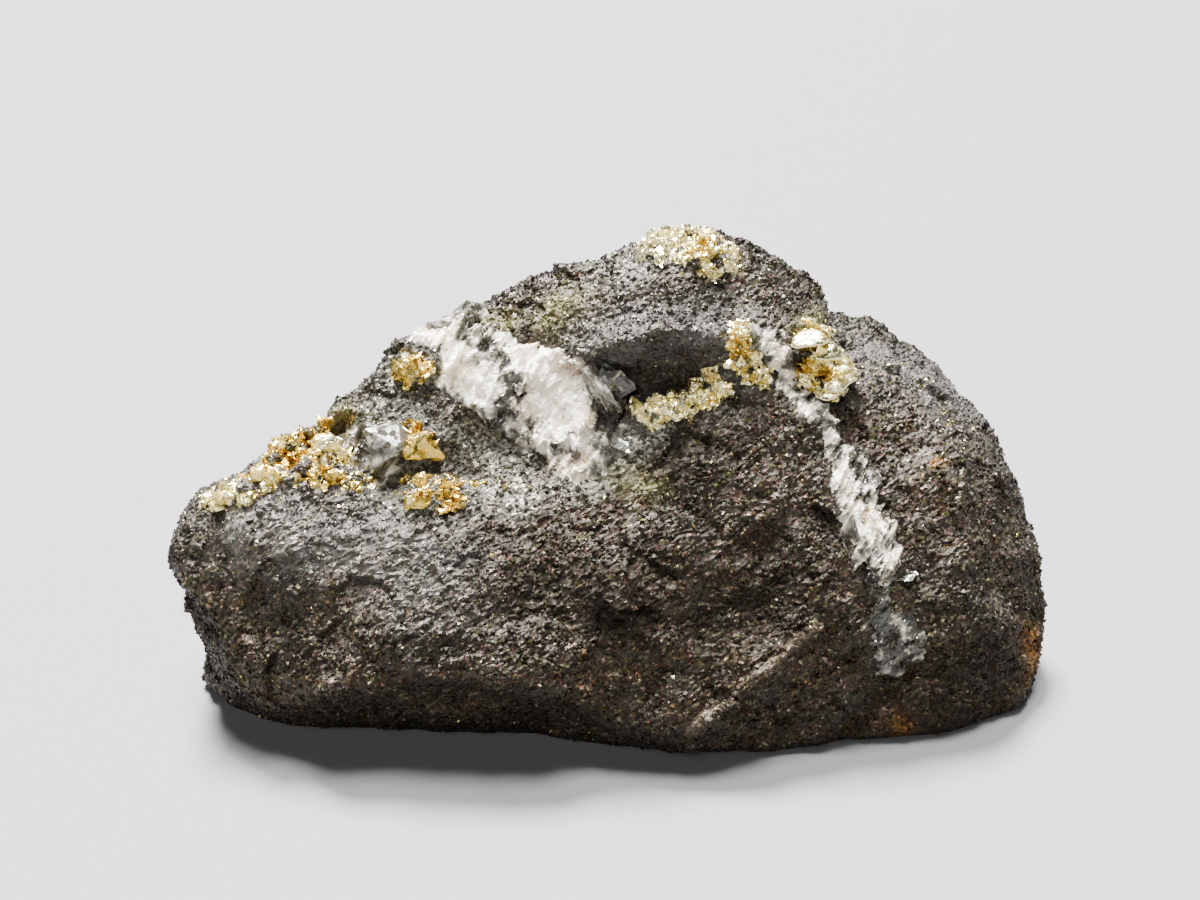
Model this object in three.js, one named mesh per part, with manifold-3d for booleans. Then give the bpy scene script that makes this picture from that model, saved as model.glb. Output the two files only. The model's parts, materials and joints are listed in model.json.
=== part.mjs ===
// A lump of magnetite ore with quartz veins and clusters of pyrite crystals.
// Millimetres, +Z up, +X along the length, -Y is the front. The lump rests on z = 0.
import * as THREE from 'three';
import { ConvexGeometry } from 'three/addons/geometries/ConvexGeometry.js';
import { TessellateModifier } from 'three/addons/modifiers/TessellateModifier.js';
import { ImprovedNoise } from 'three/addons/math/ImprovedNoise.js';
import { mergeVertices } from 'three/addons/utils/BufferGeometryUtils.js';
import Module from 'manifold-3d';

const wasm = await Module();
wasm.setup();

// ---------------------------------------------------------------- driving dimensions
const GAP = 0.3; // between pieces that touch
const FACET = 4.2; // longest edge of the broken surface's facets
const FACET_ROUNDS = 10; // rounds of halving, more than enough to reach that edge
const SHORTEST = 0.6; // shortest edge kept where the blocks meet
const SHORTEST_FINISHED = 0.08; // and on a finished piece
const WEAR = 0.3; // share of the way that a corner is worn towards its neighbours
const PROUD = 5; // how far blanks stand above the surface before they are trimmed to it
const BURIED = 4; // how far the blocks run below the base before it is cut
const BENCH = 200; // width of the bench that cuts the base flat
const BASE_RELIEF_FADE = 2.5; // the relief dies out over this height above the base
const LUMPS = [
  // size across, height, how much longer they are along the grain of the rock
  { size: 9, height: 1.5, stretch: 2.2 },
  { size: 4.2, height: 0.8, stretch: 1.8 },
];
const GRAIN_RISE = THREE.MathUtils.degToRad(17); // the rock's grain rises to the right
const PYRITE_DEPTH = 1.9; // how far a patch of pyrite goes in
const CRYSTAL_RISE = -0.04; // a crystal's centre is this share of its size above the surface
const CRYSTAL_KEPT = 0.5; // a crystal gets its pocket if this share of it is in the cluster
const CRYSTAL_STRETCH = 0.35; // a crystal is up to this much longer one way
const SEED = 19; // of the crystals' places and turns

// ---------------------------------------------------------------- the broken blocks
// Each block is the convex hull of its corners. Together they are the whole lump.
const BLOCKS = {
  leftWing: [
    [-33.9, -10.4, 15], [-33.4, -10.2, 9.5], [-34.0, -9.4, 5], [-32.2, -9.6, -4],
    [-27.4, -11.8, -4], [-13, -12.2, -4], [0, -13.5, -4],
    [-26.2, -17.6, 8.2], [-19.9, -19.4, 8], [-12.8, -20, 9.4], [-4, -19.2, 8],
    [-26.8, -9.2, 18.3], [-20.6, -9.2, 19.4], [-9.2, -9, 17.8], [-3, -9, 18],
    [-31, -6, 17.2], [-27.2, -3.6, 19.2], [-22.6, -2.2, 20.8],
    [-30, 2, 10], [-28.5, 4, -4], [-20, 12.5, -4], [-19, 9, 13], [0, 14, 14], [0, 18, -4],
  ],
  hump: [
    [-23.6, -4.5, 19], [-21.6, -2, 21.9], [-17.4, 0, 24.4], [-13.6, 2.4, 26.2],
    [-17.6, -4.2, 22.2], [-12.4, -4.6, 21.6], [-9.4, -4.4, 20], [-16, -7, 18.2], [-10, -7.4, 17],
    [-9, 2, 23], [-12, 7.5, 22.5], [-19, 6, 19], [-23, 3, 16], [-10, 9, 14],
  ],
  saddle: [
    [-14.6, 1.6, 25.9], [-11.4, 3, 27.8], [-7.8, 4.6, 29], [-4.4, 1, 27.8], [-1.6, -1.6, 26.8],
    [1.4, -4.4, 23.8], [1.6, -7, 21.2], [-2, -8.2, 19.2], [-6.4, -6.4, 19.8], [-10.6, -3.2, 22],
    [-13, 8, 23.4], [-7, 10.5, 24.6], [-12, 6, 14], [0, 4, 14],
  ],
  middle: [
    [-9.5, -9.2, 17.6], [-3.1, -8.4, 19.2], [3.1, -6, 22.8],
    [8, -5.8, 23.6], [13, -5, 24.9], [18, -4.2, 23.2],
    [-6, -19, 8.4], [-0.8, -18.9, 5.6], [3.1, -18.8, 3], [10.9, -18.6, 1.4], [16.8, -17.6, 1.6],
    [-6, -13.4, -4], [6, -15, -4], [20, -15.0, -4], [21.6, -15.8, 5.6],
    [4, -13, 14], [14, -12.4, 14], [21, -12, 13], [21.4, -5.4, 19.6],
    [-10, 3, 25.2], [-3, 2, 26.4], [5, 10, 29], [15, 10, 26], [-9, 16.4, -4], [3, 21, -4], [22, 17, -4],
    [2, 20.4, 7], [-6, 14, 14], [12, 16, 15], [20, 12, 18],
  ],
  right: [
    [19, -16.6, 1.6], [20, -15.4, -4], [27, -15.2, -4],
    [33.6, -12.2, -4], [35.4, -12.4, 2.6], [28, -15.8, 2],
    [36.7, -8, 4], [36.5, -6, 7.2], [34.4, -4, 10.6], [32.2, 2, 17.8], [31, 5, 20], [28.9, 8, 22.3],
    [25.8, 9.6, 24.1], [20.8, 8.4, 26], [14.6, 6, 27.6], [19, -4.2, 22.4], [23.6, -4.8, 20.2],
    [28, -3.8, 18.8], [31.8, -0.8, 17.4], [21.4, -12.8, 12.2], [28.4, -12.2, 10.6],
    [35, 0, -4], [32, 10, -4], [22, 17, -4], [10, 20, -4], [29, 12, 12], [15, 14, 20],
  ],
  summit: [
    [-8.4, 4.6, 29.2], [-4.4, 6, 30.8], [0, 6.2, 31],
    [3.2, 6.2, 32.8], [5.1, 6.4, 33.9], [9.5, 6.4, 33.6],
    [13.6, 6, 32], [18, 5.8, 30], [18.7, 6, 25],
    [-5.6, 0, 27.8], [-3.1, -2, 27.4], [0, -3, 28.2],
    [4.6, -3.2, 29.8], [10, -2.6, 29], [17.4, -0.6, 26.6],
    [-8.6, 4, 26], [-5.6, -0.4, 25], [-2, -1.6, 24], [4, -0.6, 23.4], [12, -0.4, 23.4], [16, 0, 22],
    [-9, 9.6, 23.6], [-3.6, 13.6, 22], [6, 14.6, 25], [14, 13, 24],
    [-5.4, 15.6, 13], [4, 19.2, 9], [12.8, 17.4, 12],
  ],
};

// Pieces that broke away and left a notch.
const NOTCHES = {
  underLedge: [
    [-4, -3.6, 26.8], [1.6, -4.8, 29], [5.4, -5.4, 29.9],
    [11, -4.4, 29], [2.4, -5.6, 23.4], [7, -5.8, 23.8],
    [1.8, -3, 24], [9.2, -2.6, 24.8], [4, -1.6, 27.9], [9.4, -1.4, 28],
  ],
};

// Blows with a blunt edge: a dent where depth is negative, a raised rib where it is positive.
const STROKES = [
  { along: [[6.6, -18.4, 2], [11, -17.2, 5.6], [15.4, -15.6, 9]], reach: 1.9, depth: 0.9 },
  { along: [[9, -18.4, 0.8], [13.4, -17, 4.4], [17.4, -15.4, 7.8]], reach: 2.4, depth: -1.3 },
  { along: [[-28, -14.4, 11.4], [-20, -15.6, 11.4], [-12, -16.2, 12]], reach: 3.4, depth: -1 },
  { along: [[0, -14.6, 10.4], [8, -15.2, 9.4], [16, -14.4, 9.6]], reach: 3.4, depth: -0.6 },
  { along: [[20.6, -4.4, 20.6], [23.6, -4.2, 20.2]], reach: 2.4, depth: -1.4 },
  { along: [[3, -10, 18.4], [8, -9.4, 19.6]], reach: 2.8, depth: -0.9 },
  { along: [[18, -14.2, 8.4], [27, -13.4, 7], [34, -10.6, 6]], reach: 3.4, depth: 0.9 },
];

// Quartz fills these cracks. An outline lies about on the surface, and the crack runs in behind it.
const VEINS = {
  quartz_saddle: {
    facing: [-0.15, -0.55, 0.82],
    depth: 6.5,
    outline: [
      [-16.2, -0.6, 24.6], [-13.8, -1.2, 24.4], [-12.2, -1.6, 24],
      [-10.8, -2.6, 23.4], [-8.2, -3.6, 21.6],
      [-6.4, -4.4, 20.4], [-4.4, -5.2, 20.2], [-3.6, -6.4, 19.4], [-1.8, -7.9, 19.2], [0.2, -8, 19.4],
      [0.4, -7, 20.3], [1.6, -5.8, 21.6], [2.5, -3.8, 22.9], [0.8, -2.2, 23.8], [-0.9, -2.4, 25.6],
      [-2.4, -2, 27.3], [-4.4, -0.8, 27], [-6.2, 0.1, 26.9], [-8, 1, 27.3], [-9.8, 1.6, 27.6],
      [-8.4, 6.4, 28.2], [-12.6, 6.8, 25.4], [-14.6, 2.6, 26.2],
    ],
  },
  quartz_vein_right: {
    facing: [0.16, -0.86, 0.48],
    depth: 3.4,
    outline: [
      [11.6, -1.6, 28.6], [13, -2.6, 25.7], [14.6, -3.5, 24.4], [15.7, -4.6, 23.4], [16.8, -5.4, 21.4],
      [17.9, -6.4, 19.6], [17.8, -7.4, 18.1], [19, -9.4, 16.6], [20, -11.2, 14.6], [20.6, -13.1, 12.6],
      [20.9, -14.3, 10.6], [21.4, -14.8, 7.6], [21.8, -15, 4.4], [22.8, -15.8, 1],
      [24, -15.6, 1.2], [23.6, -14.8, 4.2], [24.6, -14.2, 6.2], [25.2, -13.8, 8.4], [23.6, -13.4, 11],
      [22.6, -11.9, 13.3], [22.9, -10, 15.2], [22.6, -8.4, 17], [21.8, -6.6, 18.5], [20.4, -5.2, 19.8],
      [18.6, -4.3, 21.5], [17.4, -2.9, 23.5], [16.6, -1.2, 25.2], [15.6, -1, 27], [14.2, -0.4, 28.4],
    ],
  },
  quartz_patch_left: {
    facing: [-0.1, -0.5, 0.86],
    depth: 2.6,
    outline: [
      [-19.6, -4.4, 20.7], [-19.2, -6.2, 19.8], [-18.4, -7.4, 19.2],
      [-17.2, -7.8, 19], [-16.2, -6.8, 19.4],
      [-16, -5.4, 20.5], [-16.6, -4.3, 21.4], [-18, -3.8, 21.5], [-19.2, -3.2, 21.5],
    ],
  },
};

// Pyrite fills each of these patches, and its crystals stand out of it along the runs.
const PYRITE = {
  pyrite_summit: {
    facing: [0.05, -0.35, 0.94],
    outline: [
      [2.6, 4.6, 32.4], [4.8, 6.4, 33.4], [8, 6.9, 33.6], [10.8, 5.4, 33], [11.6, 3.8, 31.9],
      [9.8, 2.4, 31.3], [7.6, 2.6, 31.9], [5.4, 3, 32.6],
    ],
    size: [1.2, 1.8],
    count: 10,
    spread: 0.6,
    runs: [
      [[3.4, 4.8, 32.6], [6, 5.6, 33.3], [9.6, 5.2, 33.2]],
      [[5, 3.8, 32.6], [8, 3.4, 32.2], [10.6, 3.6, 32]],
    ],
  },
  pyrite_left_band: {
    facing: [-0.2, -0.25, 0.95],
    outline: [
      [-31.4, -7.4, 17.2], [-28.6, -7.2, 18.5], [-26, -5.4, 19.3], [-24.6, -3.4, 20], [-22.2, -2, 20.8],
      [-20, -2.8, 21.1], [-19.8, -5.6, 20], [-18.4, -8.8, 19], [-20.8, -8.8, 19.3], [-24, -7.9, 19.3],
      [-26, -9, 18.7], [-29, -9.4, 17.7],
    ],
    size: [1.3, 2.3],
    count: 17,
    spread: 0.6,
    runs: [
      [[-30.8, -8, 17.5], [-26.4, -8, 18.9], [-22.4, -7.4, 19.4], [-19, -8, 19.2]],
      [[-26, -5.8, 19.3], [-23.8, -4, 20], [-20.8, -3.4, 21]],
      [[-23.4, -6, 19.6], [-21, -5.2, 20.2]],
    ],
  },
  pyrite_nugget_left: {
    facing: [0.05, -0.7, 0.7],
    outline: [
      [-16, -4, 21.9], [-13.7, -3.6, 22.3], [-12.5, -4.7, 21.1], [-13.8, -5.9, 20.2], [-15.5, -5.6, 20.5],
    ],
    size: [2.0, 2.6],
    count: 3,
    spread: 0.4,
    runs: [[[-15.4, -4.6, 21.4], [-13.6, -4.6, 21.3]]],
  },
  pyrite_low_saddle: {
    facing: [0.05, -0.5, 0.86],
    outline: [
      [-15.3, -7.2, 19], [-14.6, -9.5, 18], [-12.2, -9.8, 17.7], [-9.8, -9, 17.9], [-9, -6.8, 18.3],
      [-11.3, -6.2, 18.8], [-13.2, -6.4, 19.4],
    ],
    size: [1.3, 2.3],
    count: 7,
    spread: 0.6,
    runs: [[[-14.4, -8, 18.8], [-12.4, -8.6, 18.3], [-10.2, -7.8, 18.2]]],
  },
  pyrite_quartz_corner: {
    facing: [-0.1, -0.65, 0.75],
    outline: [
      [-16.2, -0.8, 24.6], [-15.8, 0.3, 25.6], [-13.8, 0.6, 25.9], [-12.4, -0.8, 24.9], [-14, -1.8, 23.9],
    ],
    size: [1.3, 2.0],
    count: 4,
    spread: 0.5,
    runs: [[[-15.4, -0.4, 25], [-14, -0.6, 24.9], [-13.4, -0.2, 25.4]]],
  },
  pyrite_centre_band: {
    facing: [0.1, -0.6, 0.8],
    outline: [
      [2.9, -4.3, 23], [5.2, -5.7, 22.6], [7, -4.8, 23.5], [9.4, -4.2, 24.3], [13.2, -3, 25.4],
      [13.4, -2.2, 25.9], [11.7, -2.1, 27.3], [12.8, -0.7, 28.7], [11, -1.8, 28.4], [9.9, -2.4, 27],
      [9.2, -2.2, 25.2], [7.6, -2.5, 24.2], [5.4, -3.1, 23.4],
    ],
    size: [1.3, 2.0],
    count: 13,
    spread: 0.5,
    runs: [
      [[3.8, -4.6, 22.9], [6.6, -4, 23.7], [9.4, -3.2, 24.8], [12.6, -2.6, 25.6]],
      [[9.8, -2.8, 26], [11.6, -1.4, 28.2]],
    ],
  },
  pyrite_nugget_right: {
    facing: [0.35, -0.5, 0.79],
    outline: [
      [14.7, -1.2, 27.4], [15.6, 0.9, 28.2], [18, 2.8, 27], [19.8, 2, 25], [20.3, -0.8, 23.6],
      [18.2, -2.9, 23.4], [16.5, -2.9, 24], [15.5, -1.6, 25.4],
    ],
    size: [2.2, 3.4],
    count: 5,
    spread: 0.8,
    runs: [[[15.8, 0, 27.2], [17.2, -0.8, 25.6], [18.8, -0.8, 24.6]]],
  },
};

// ---------------------------------------------------------------- helpers
function vectors(corners) {
  return corners.map((corner) => new THREE.Vector3(...corner));
}

function seededRandom(seed) {
  let state = seed;
  return () => {
    state = (state * 1664525 + 1013904223) % 4294967296;
    return state / 4294967296;
  };
}

function bareGeometry(geometry) {
  const bare = geometry.clone();
  bare.deleteAttribute('normal');
  bare.deleteAttribute('uv');
  return mergeVertices(bare, 1e-4);
}

function solidFrom(geometry) {
  const bare = bareGeometry(geometry);
  return new wasm.Manifold(new wasm.Mesh({
    numProp: 3,
    vertProperties: new Float32Array(bare.getAttribute('position').array),
    triVerts: new Uint32Array(bare.getIndex().array),
  }));
}

function geometryFrom(solid) {
  const mesh = solid.getMesh();
  const geometry = new THREE.BufferGeometry();
  geometry.setAttribute('position', new THREE.BufferAttribute(new Float32Array(mesh.vertProperties), 3));
  geometry.setIndex(new THREE.BufferAttribute(new Uint32Array(mesh.triVerts), 1));
  return geometry;
}

// Merges corners that are closer than the shortest edge wanted, and drops the slivers between them.
function withoutSlivers(geometry, shortest) {
  const merged = mergeVertices(geometry, shortest);
  const index = Array.from(merged.getIndex().array);
  const kept = [];
  for (let i = 0; i < index.length; i += 3) {
    const [a, b, c] = index.slice(i, i + 3);
    if (a !== b && b !== c && c !== a) kept.push(a, b, c);
  }
  merged.setIndex(kept);
  return merged;
}

function largestBody(solid) {
  const bodies = solid.decompose();
  bodies.sort((a, b) => b.volume() - a.volume());
  return bodies[0];
}

function block(corners) {
  return solidFrom(new ConvexGeometry(vectors(corners)));
}

// ---------------------------------------------------------------- the lump
function roughBlank() {
  let blank = null;
  for (const corners of Object.values(BLOCKS)) {
    blank = blank ? blank.add(block(corners)) : block(corners);
  }
  for (const corners of Object.values(NOTCHES)) {
    blank = blank.subtract(block(corners));
  }
  return largestBody(blank);
}

// Moves every corner a little towards the mean of its neighbours, which wears the sharp edges.
function wearEdges(geometry) {
  const place = geometry.getAttribute('position');
  const index = geometry.getIndex();
  const neighbours = Array.from({ length: place.count }, () => new Set());
  for (let i = 0; i < index.count; i += 3) {
    const [a, b, c] = [index.getX(i), index.getX(i + 1), index.getX(i + 2)];
    neighbours[a].add(b).add(c);
    neighbours[b].add(a).add(c);
    neighbours[c].add(a).add(b);
  }
  const point = new THREE.Vector3();
  const worn = neighbours.map((ring, i) => {
    const mean = new THREE.Vector3();
    for (const j of ring) mean.add(point.fromBufferAttribute(place, j));
    return mean.divideScalar(ring.size).lerp(point.fromBufferAttribute(place, i), 1 - WEAR);
  });
  worn.forEach((p, i) => place.setXYZ(i, p.x, p.y, p.z));
}

const noise = new ImprovedNoise();

// Height of the lumps at a place. The lumps are longer along the grain, which rises to the right.
function lumpHeight(point) {
  const along = point.x * Math.cos(GRAIN_RISE) + point.z * Math.sin(GRAIN_RISE);
  const across = point.z * Math.cos(GRAIN_RISE) - point.x * Math.sin(GRAIN_RISE);
  let height = 0;
  LUMPS.forEach((lump, i) => {
    const apart = 7.3 * i;
    const length = lump.size * lump.stretch;
    height += lump.height * noise.noise(along / length + apart, point.y / lump.size, across / lump.size);
  });
  return height;
}

// Height of the dents and ribs at a place. Each fades out with the distance from its line.
function strokeHeight(point) {
  let height = 0;
  const nearest = new THREE.Vector3();
  for (const stroke of STROKES) {
    const path = vectors(stroke.along);
    let distance = Infinity;
    for (let i = 1; i < path.length; i += 1) {
      new THREE.Line3(path[i - 1], path[i]).closestPointToPoint(point, true, nearest);
      distance = Math.min(distance, nearest.distanceTo(point));
    }
    height += stroke.depth * Math.exp(-((distance / stroke.reach) ** 2));
  }
  return height;
}

function brokenLump() {
  const clean = withoutSlivers(geometryFrom(roughBlank()), SHORTEST);
  const fine = new TessellateModifier(FACET, FACET_ROUNDS).modify(clean.toNonIndexed());
  const geometry = bareGeometry(fine);
  wearEdges(geometry);
  geometry.computeVertexNormals();
  const place = geometry.getAttribute('position');
  const normal = geometry.getAttribute('normal');
  const point = new THREE.Vector3();
  const out = new THREE.Vector3();
  for (let i = 0; i < place.count; i += 1) {
    point.fromBufferAttribute(place, i);
    out.fromBufferAttribute(normal, i);
    const fade = THREE.MathUtils.clamp(point.z / BASE_RELIEF_FADE, 0, 1);
    point.addScaledVector(out, (lumpHeight(point) + strokeHeight(point)) * fade);
    place.setXYZ(i, point.x, point.y, point.z);
  }
  const bench = new THREE.BoxGeometry(BENCH, BENCH, 2 * BURIED).translate(0, 0, -BURIED);
  return solidFrom(geometry).subtract(solidFrom(bench));
}

const lump = brokenLump();

// ---------------------------------------------------------------- materials
const MATERIALS = {
  rock: new THREE.MeshStandardMaterial({ color: 0x4d4841, roughness: 0.55, metalness: 0.35 }),
  quartz: new THREE.MeshStandardMaterial({ color: 0xe3dfd2, roughness: 0.3, metalness: 0 }),
  pyrite: new THREE.MeshStandardMaterial({ color: 0xc9a555, roughness: 0.3, metalness: 0.9 }),
};

// ---------------------------------------------------------------- quartz and pyrite patches
// A blank that fills an outline from above the surface down to its depth. A grown one is GAP larger.
function filling({ facing, outline, depth }, grown) {
  const outward = new THREE.Vector3(...facing).normalize();
  const turn = new THREE.Quaternion().setFromUnitVectors(outward, new THREE.Vector3(0, 0, 1));
  const flat = vectors(outline).map((corner) => corner.applyQuaternion(turn));
  const level = flat.reduce((sum, corner) => sum + corner.z, 0) / flat.length;
  const shape = new THREE.Shape(flat.map((corner) => new THREE.Vector2(corner.x, corner.y)));
  const blank = new THREE.ExtrudeGeometry(shape, {
    depth: depth + PROUD,
    bevelEnabled: grown,
    bevelThickness: GAP,
    bevelSize: GAP,
    bevelSegments: 1,
  });
  blank.translate(0, 0, level - depth);
  blank.applyQuaternion(turn.invert());
  return solidFrom(blank);
}

// ---------------------------------------------------------------- pyrite crystals
const lumpMesh = new THREE.Mesh(geometryFrom(lump), MATERIALS.rock);

// Finds where a line along -facing through a place meets the lump.
function onSurface(place, facing) {
  const start = place.clone().addScaledVector(facing, PROUD);
  const hits = new THREE.Raycaster(start, facing.clone().negate()).intersectObject(lumpMesh);
  return hits.length > 0 ? hits[0].point : place;
}

// The place at a share of the way along several runs, one after the other.
function placeAlong(runs, share) {
  const lengths = runs.map((run) => run.getLength());
  let travelled = share * lengths.reduce((sum, length) => sum + length, 0);
  let which = 0;
  while (travelled > lengths[which]) {
    travelled -= lengths[which];
    which += 1;
  }
  return runs[which].getPointAt(travelled / lengths[which]);
}

function crystal({ centre, turn, size, length }, extra) {
  const box = new THREE.BoxGeometry(length + extra, size + extra, size + extra);
  return solidFrom(box.applyQuaternion(turn).translate(centre.x, centre.y, centre.z));
}

// One patch with its crystals, cubes in all directions, and its pocket, which is GAP larger.
function crystalCluster(cluster, random) {
  const patch = { depth: PYRITE_DEPTH, ...cluster };
  const facing = new THREE.Vector3(...cluster.facing).normalize();
  const runs = cluster.runs.map((run) => new THREE.CatmullRomCurve3(vectors(run)));
  const places = [];
  for (let i = 0; i < cluster.count; i += 1) {
    const thrown = new THREE.Vector3(random() - 0.5, random() - 0.5, random() - 0.5);
    const place = placeAlong(runs, (i + 0.5) / cluster.count).addScaledVector(thrown, 2 * cluster.spread);
    const size = THREE.MathUtils.lerp(cluster.size[0], cluster.size[1], random() ** 2);
    const centre = onSurface(place, facing).addScaledVector(facing, size * CRYSTAL_RISE);
    const angles = new THREE.Euler(random() * Math.PI, random() * Math.PI, random() * Math.PI);
    const turn = new THREE.Quaternion().setFromEuler(angles);
    const length = size * (1 + random() * CRYSTAL_STRETCH);
    places.push({ centre, turn, size, length });
  }
  const bed = lump.intersect(filling(patch, false));
  const whole = places.reduce((sum, place) => sum.add(crystal(place, 0)), bed);
  const crystals = largestBody(whole);
  const kept = places.filter((place) => {
    const alone = crystal(place, 0);
    return alone.intersect(crystals).volume() > CRYSTAL_KEPT * alone.volume();
  });
  const pocket = kept.reduce((sum, place) => sum.add(crystal(place, 2 * GAP)), filling(patch, true));
  return { crystals, pocket };
}

// ---------------------------------------------------------------- the pieces
const specimen = new THREE.Group();

function addPiece(name, solid, material) {
  const trimmed = withoutSlivers(geometryFrom(largestBody(solid)), SHORTEST_FINISHED);
  const geometry = geometryFrom(largestBody(solidFrom(trimmed)));
  geometry.computeVertexNormals();
  const mesh = new THREE.Mesh(geometry, material);
  mesh.name = name;
  specimen.add(mesh);
}

const random = seededRandom(SEED);

let pockets = null;
for (const [name, cluster] of Object.entries(PYRITE)) {
  const { crystals, pocket } = crystalCluster(cluster, random);
  addPiece(name, crystals, MATERIALS.pyrite);
  pockets = pockets ? pockets.add(pocket) : pocket;
}

let rock = lump.subtract(pockets);
for (const [name, vein] of Object.entries(VEINS)) {
  addPiece(name, lump.intersect(filling(vein, false)).subtract(pockets), MATERIALS.quartz);
  rock = rock.subtract(filling(vein, true));
}
addPiece('magnetite_rock', rock, MATERIALS.rock);

// The origin is under the middle of the finished lump, on the bench.
const middle = new THREE.Box3().setFromObject(specimen).getCenter(new THREE.Vector3());
specimen.position.set(-middle.x, -middle.y, 0);

export default specimen;
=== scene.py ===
# %% [markdown]
# # A lump of magnetite ore with quartz veins and pyrite
# The real object is a broken piece of ore that fills a palm. Its body is magnetite, a dark iron
# mineral that looks like wet black sugar, because it is a mass of small eight-sided crystals.
# Milky quartz filled two cracks in it, and brassy pyrite grew beside the quartz.
# The solids come from a CAD model and never change here. Blender makes the surfaces that are seen,
# so the lesson begins by loading the frame that holds the solids and their places.

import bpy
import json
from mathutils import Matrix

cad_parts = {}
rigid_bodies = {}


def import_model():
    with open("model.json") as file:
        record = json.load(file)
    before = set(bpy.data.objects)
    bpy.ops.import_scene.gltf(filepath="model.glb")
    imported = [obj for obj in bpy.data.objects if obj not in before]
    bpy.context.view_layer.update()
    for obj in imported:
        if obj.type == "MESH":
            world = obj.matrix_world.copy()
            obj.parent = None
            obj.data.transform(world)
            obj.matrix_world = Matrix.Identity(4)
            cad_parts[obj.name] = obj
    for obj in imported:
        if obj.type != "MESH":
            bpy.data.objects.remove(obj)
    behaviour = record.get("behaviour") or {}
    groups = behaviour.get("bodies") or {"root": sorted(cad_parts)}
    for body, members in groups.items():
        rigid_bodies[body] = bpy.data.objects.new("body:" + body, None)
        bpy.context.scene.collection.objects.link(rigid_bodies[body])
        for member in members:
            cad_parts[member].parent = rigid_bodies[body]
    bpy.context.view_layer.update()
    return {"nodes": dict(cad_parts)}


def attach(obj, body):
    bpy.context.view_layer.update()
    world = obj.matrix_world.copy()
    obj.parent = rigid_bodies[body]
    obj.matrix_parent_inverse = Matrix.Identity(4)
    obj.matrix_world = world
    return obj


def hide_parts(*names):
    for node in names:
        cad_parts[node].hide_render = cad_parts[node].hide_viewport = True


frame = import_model()
print("solids:", ", ".join(frame["nodes"]))

# %% [markdown]
# ## Tools
# A surface with this many points is too slow to shape one point at a time. NumPy works on all of
# them at once, Blender's bmesh module edits faces, and its mathutils module has smooth noise and
# quick searches for the nearest place.

# %% Tools that the lesson uses
import json
import math

import bmesh
import bpy
import numpy as np
from mathutils import Euler, Matrix, Vector, noise
from mathutils.bvhtree import BVHTree
from mathutils.kdtree import KDTree

MM = 0.001  # Blender works in metres, and this lesson counts in millimetres

# %% [markdown]
# ## The camera
# A camera that is made first lets every later step be looked at from the same place. It looks down
# at the lump from the front, as a person does at a stone on a table. A real lens so close would
# blur the near and the far parts, but here the whole stone stays sharp, so that it can be studied.

# %% Camera
CAMERA_RISE = math.radians(33)
CAMERA_DISTANCE = 136 * MM
LENS = 50
LOOKED_AT = Vector((-1.48, -0.49, 17)) * MM
NEAREST_SEEN = 10 * MM  # the usual limit of 100 mm would cut a stone this small

toward_camera = Vector((0, -math.cos(CAMERA_RISE), math.sin(CAMERA_RISE)))
camera = bpy.data.objects.new("camera", bpy.data.cameras.new("camera"))
camera.data.lens = LENS
camera.data.clip_start = NEAREST_SEEN
camera.location = LOOKED_AT + toward_camera * CAMERA_DISTANCE
camera.rotation_euler = (-toward_camera).to_track_quat("-Z", "Y").to_euler()
bpy.context.scene.collection.objects.link(camera)
bpy.context.scene.camera = camera
print("camera at", [round(c / MM, 1) for c in camera.location], "mm")

# %% [markdown]
# ## Small helpers for meshes
# Stone is shaped most easily as a cloud of points with numbers on them. Modifiers could displace
# it too, but then no step could ask how near a point is to a vein. These helpers read a mesh's
# points into arrays in millimetres, write them back, and store numbers at the points.


# %% Mesh helpers
def points_of(mesh):
    """The places of a mesh's points, in millimetres."""
    flat = np.empty(len(mesh.vertices) * 3, np.float32)
    mesh.vertices.foreach_get("co", flat)
    return flat.reshape(-1, 3).astype(float) / MM


def set_points(mesh, points):
    mesh.vertices.foreach_set("co", (points * MM).astype(np.float32).ravel())
    mesh.update()


def normals_of(mesh):
    flat = np.empty(len(mesh.vertices) * 3, np.float32)
    mesh.vertex_normals.foreach_get("vector", flat)
    return flat.reshape(-1, 3).astype(float)


def edges_of(mesh):
    flat = np.empty(len(mesh.edges) * 2, np.int32)
    mesh.edges.foreach_get("vertices", flat)
    return flat.reshape(-1, 2)


def area_of(mesh):
    """The area of a mesh, in square millimetres."""
    areas = np.empty(len(mesh.polygons), np.float32)
    mesh.polygons.foreach_get("area", areas)
    return float(areas.sum()) / MM**2


# %% Helpers for numbers at the points, and for objects
def put_number(mesh, name, values):
    """Stores one number at every point of a mesh, for a material or a node tree to read."""
    layer = mesh.attributes.get(name) or mesh.attributes.new(name, "FLOAT", "POINT")
    layer.data.foreach_set("value", np.asarray(values, np.float32))


def number_on(mesh, name):
    values = np.empty(len(mesh.vertices), np.float32)
    mesh.attributes[name].data.foreach_get("value", values)
    return values.astype(float)


def new_object(name, mesh):
    thing = bpy.data.objects.new(name, mesh)
    bpy.context.scene.collection.objects.link(thing)
    return thing


def result_of(thing, name):
    """The mesh that an object's modifiers make, as a plain mesh. The object itself is removed."""
    seen = thing.evaluated_get(bpy.context.evaluated_depsgraph_get())
    mesh = bpy.data.meshes.new_from_object(seen)
    mesh.name = name
    bpy.data.objects.remove(thing)
    return mesh


print("loose corners of the solids:", sum(len(n.data.vertices) for n in frame["nodes"].values()))

# %% [markdown]
# ## One skin over the whole stone
# The CAD solids stand a hair apart, as separate pieces must, but on the real stone magnetite,
# quartz and pyrite have grown into each other with no gap. A voxel remesh wraps all the pieces in
# one closed skin. The copies are swollen a little first, so that the gaps close, and the skin is
# shrunk back afterwards. Sanding the skin takes away the flat triangles of the CAD model.

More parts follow.
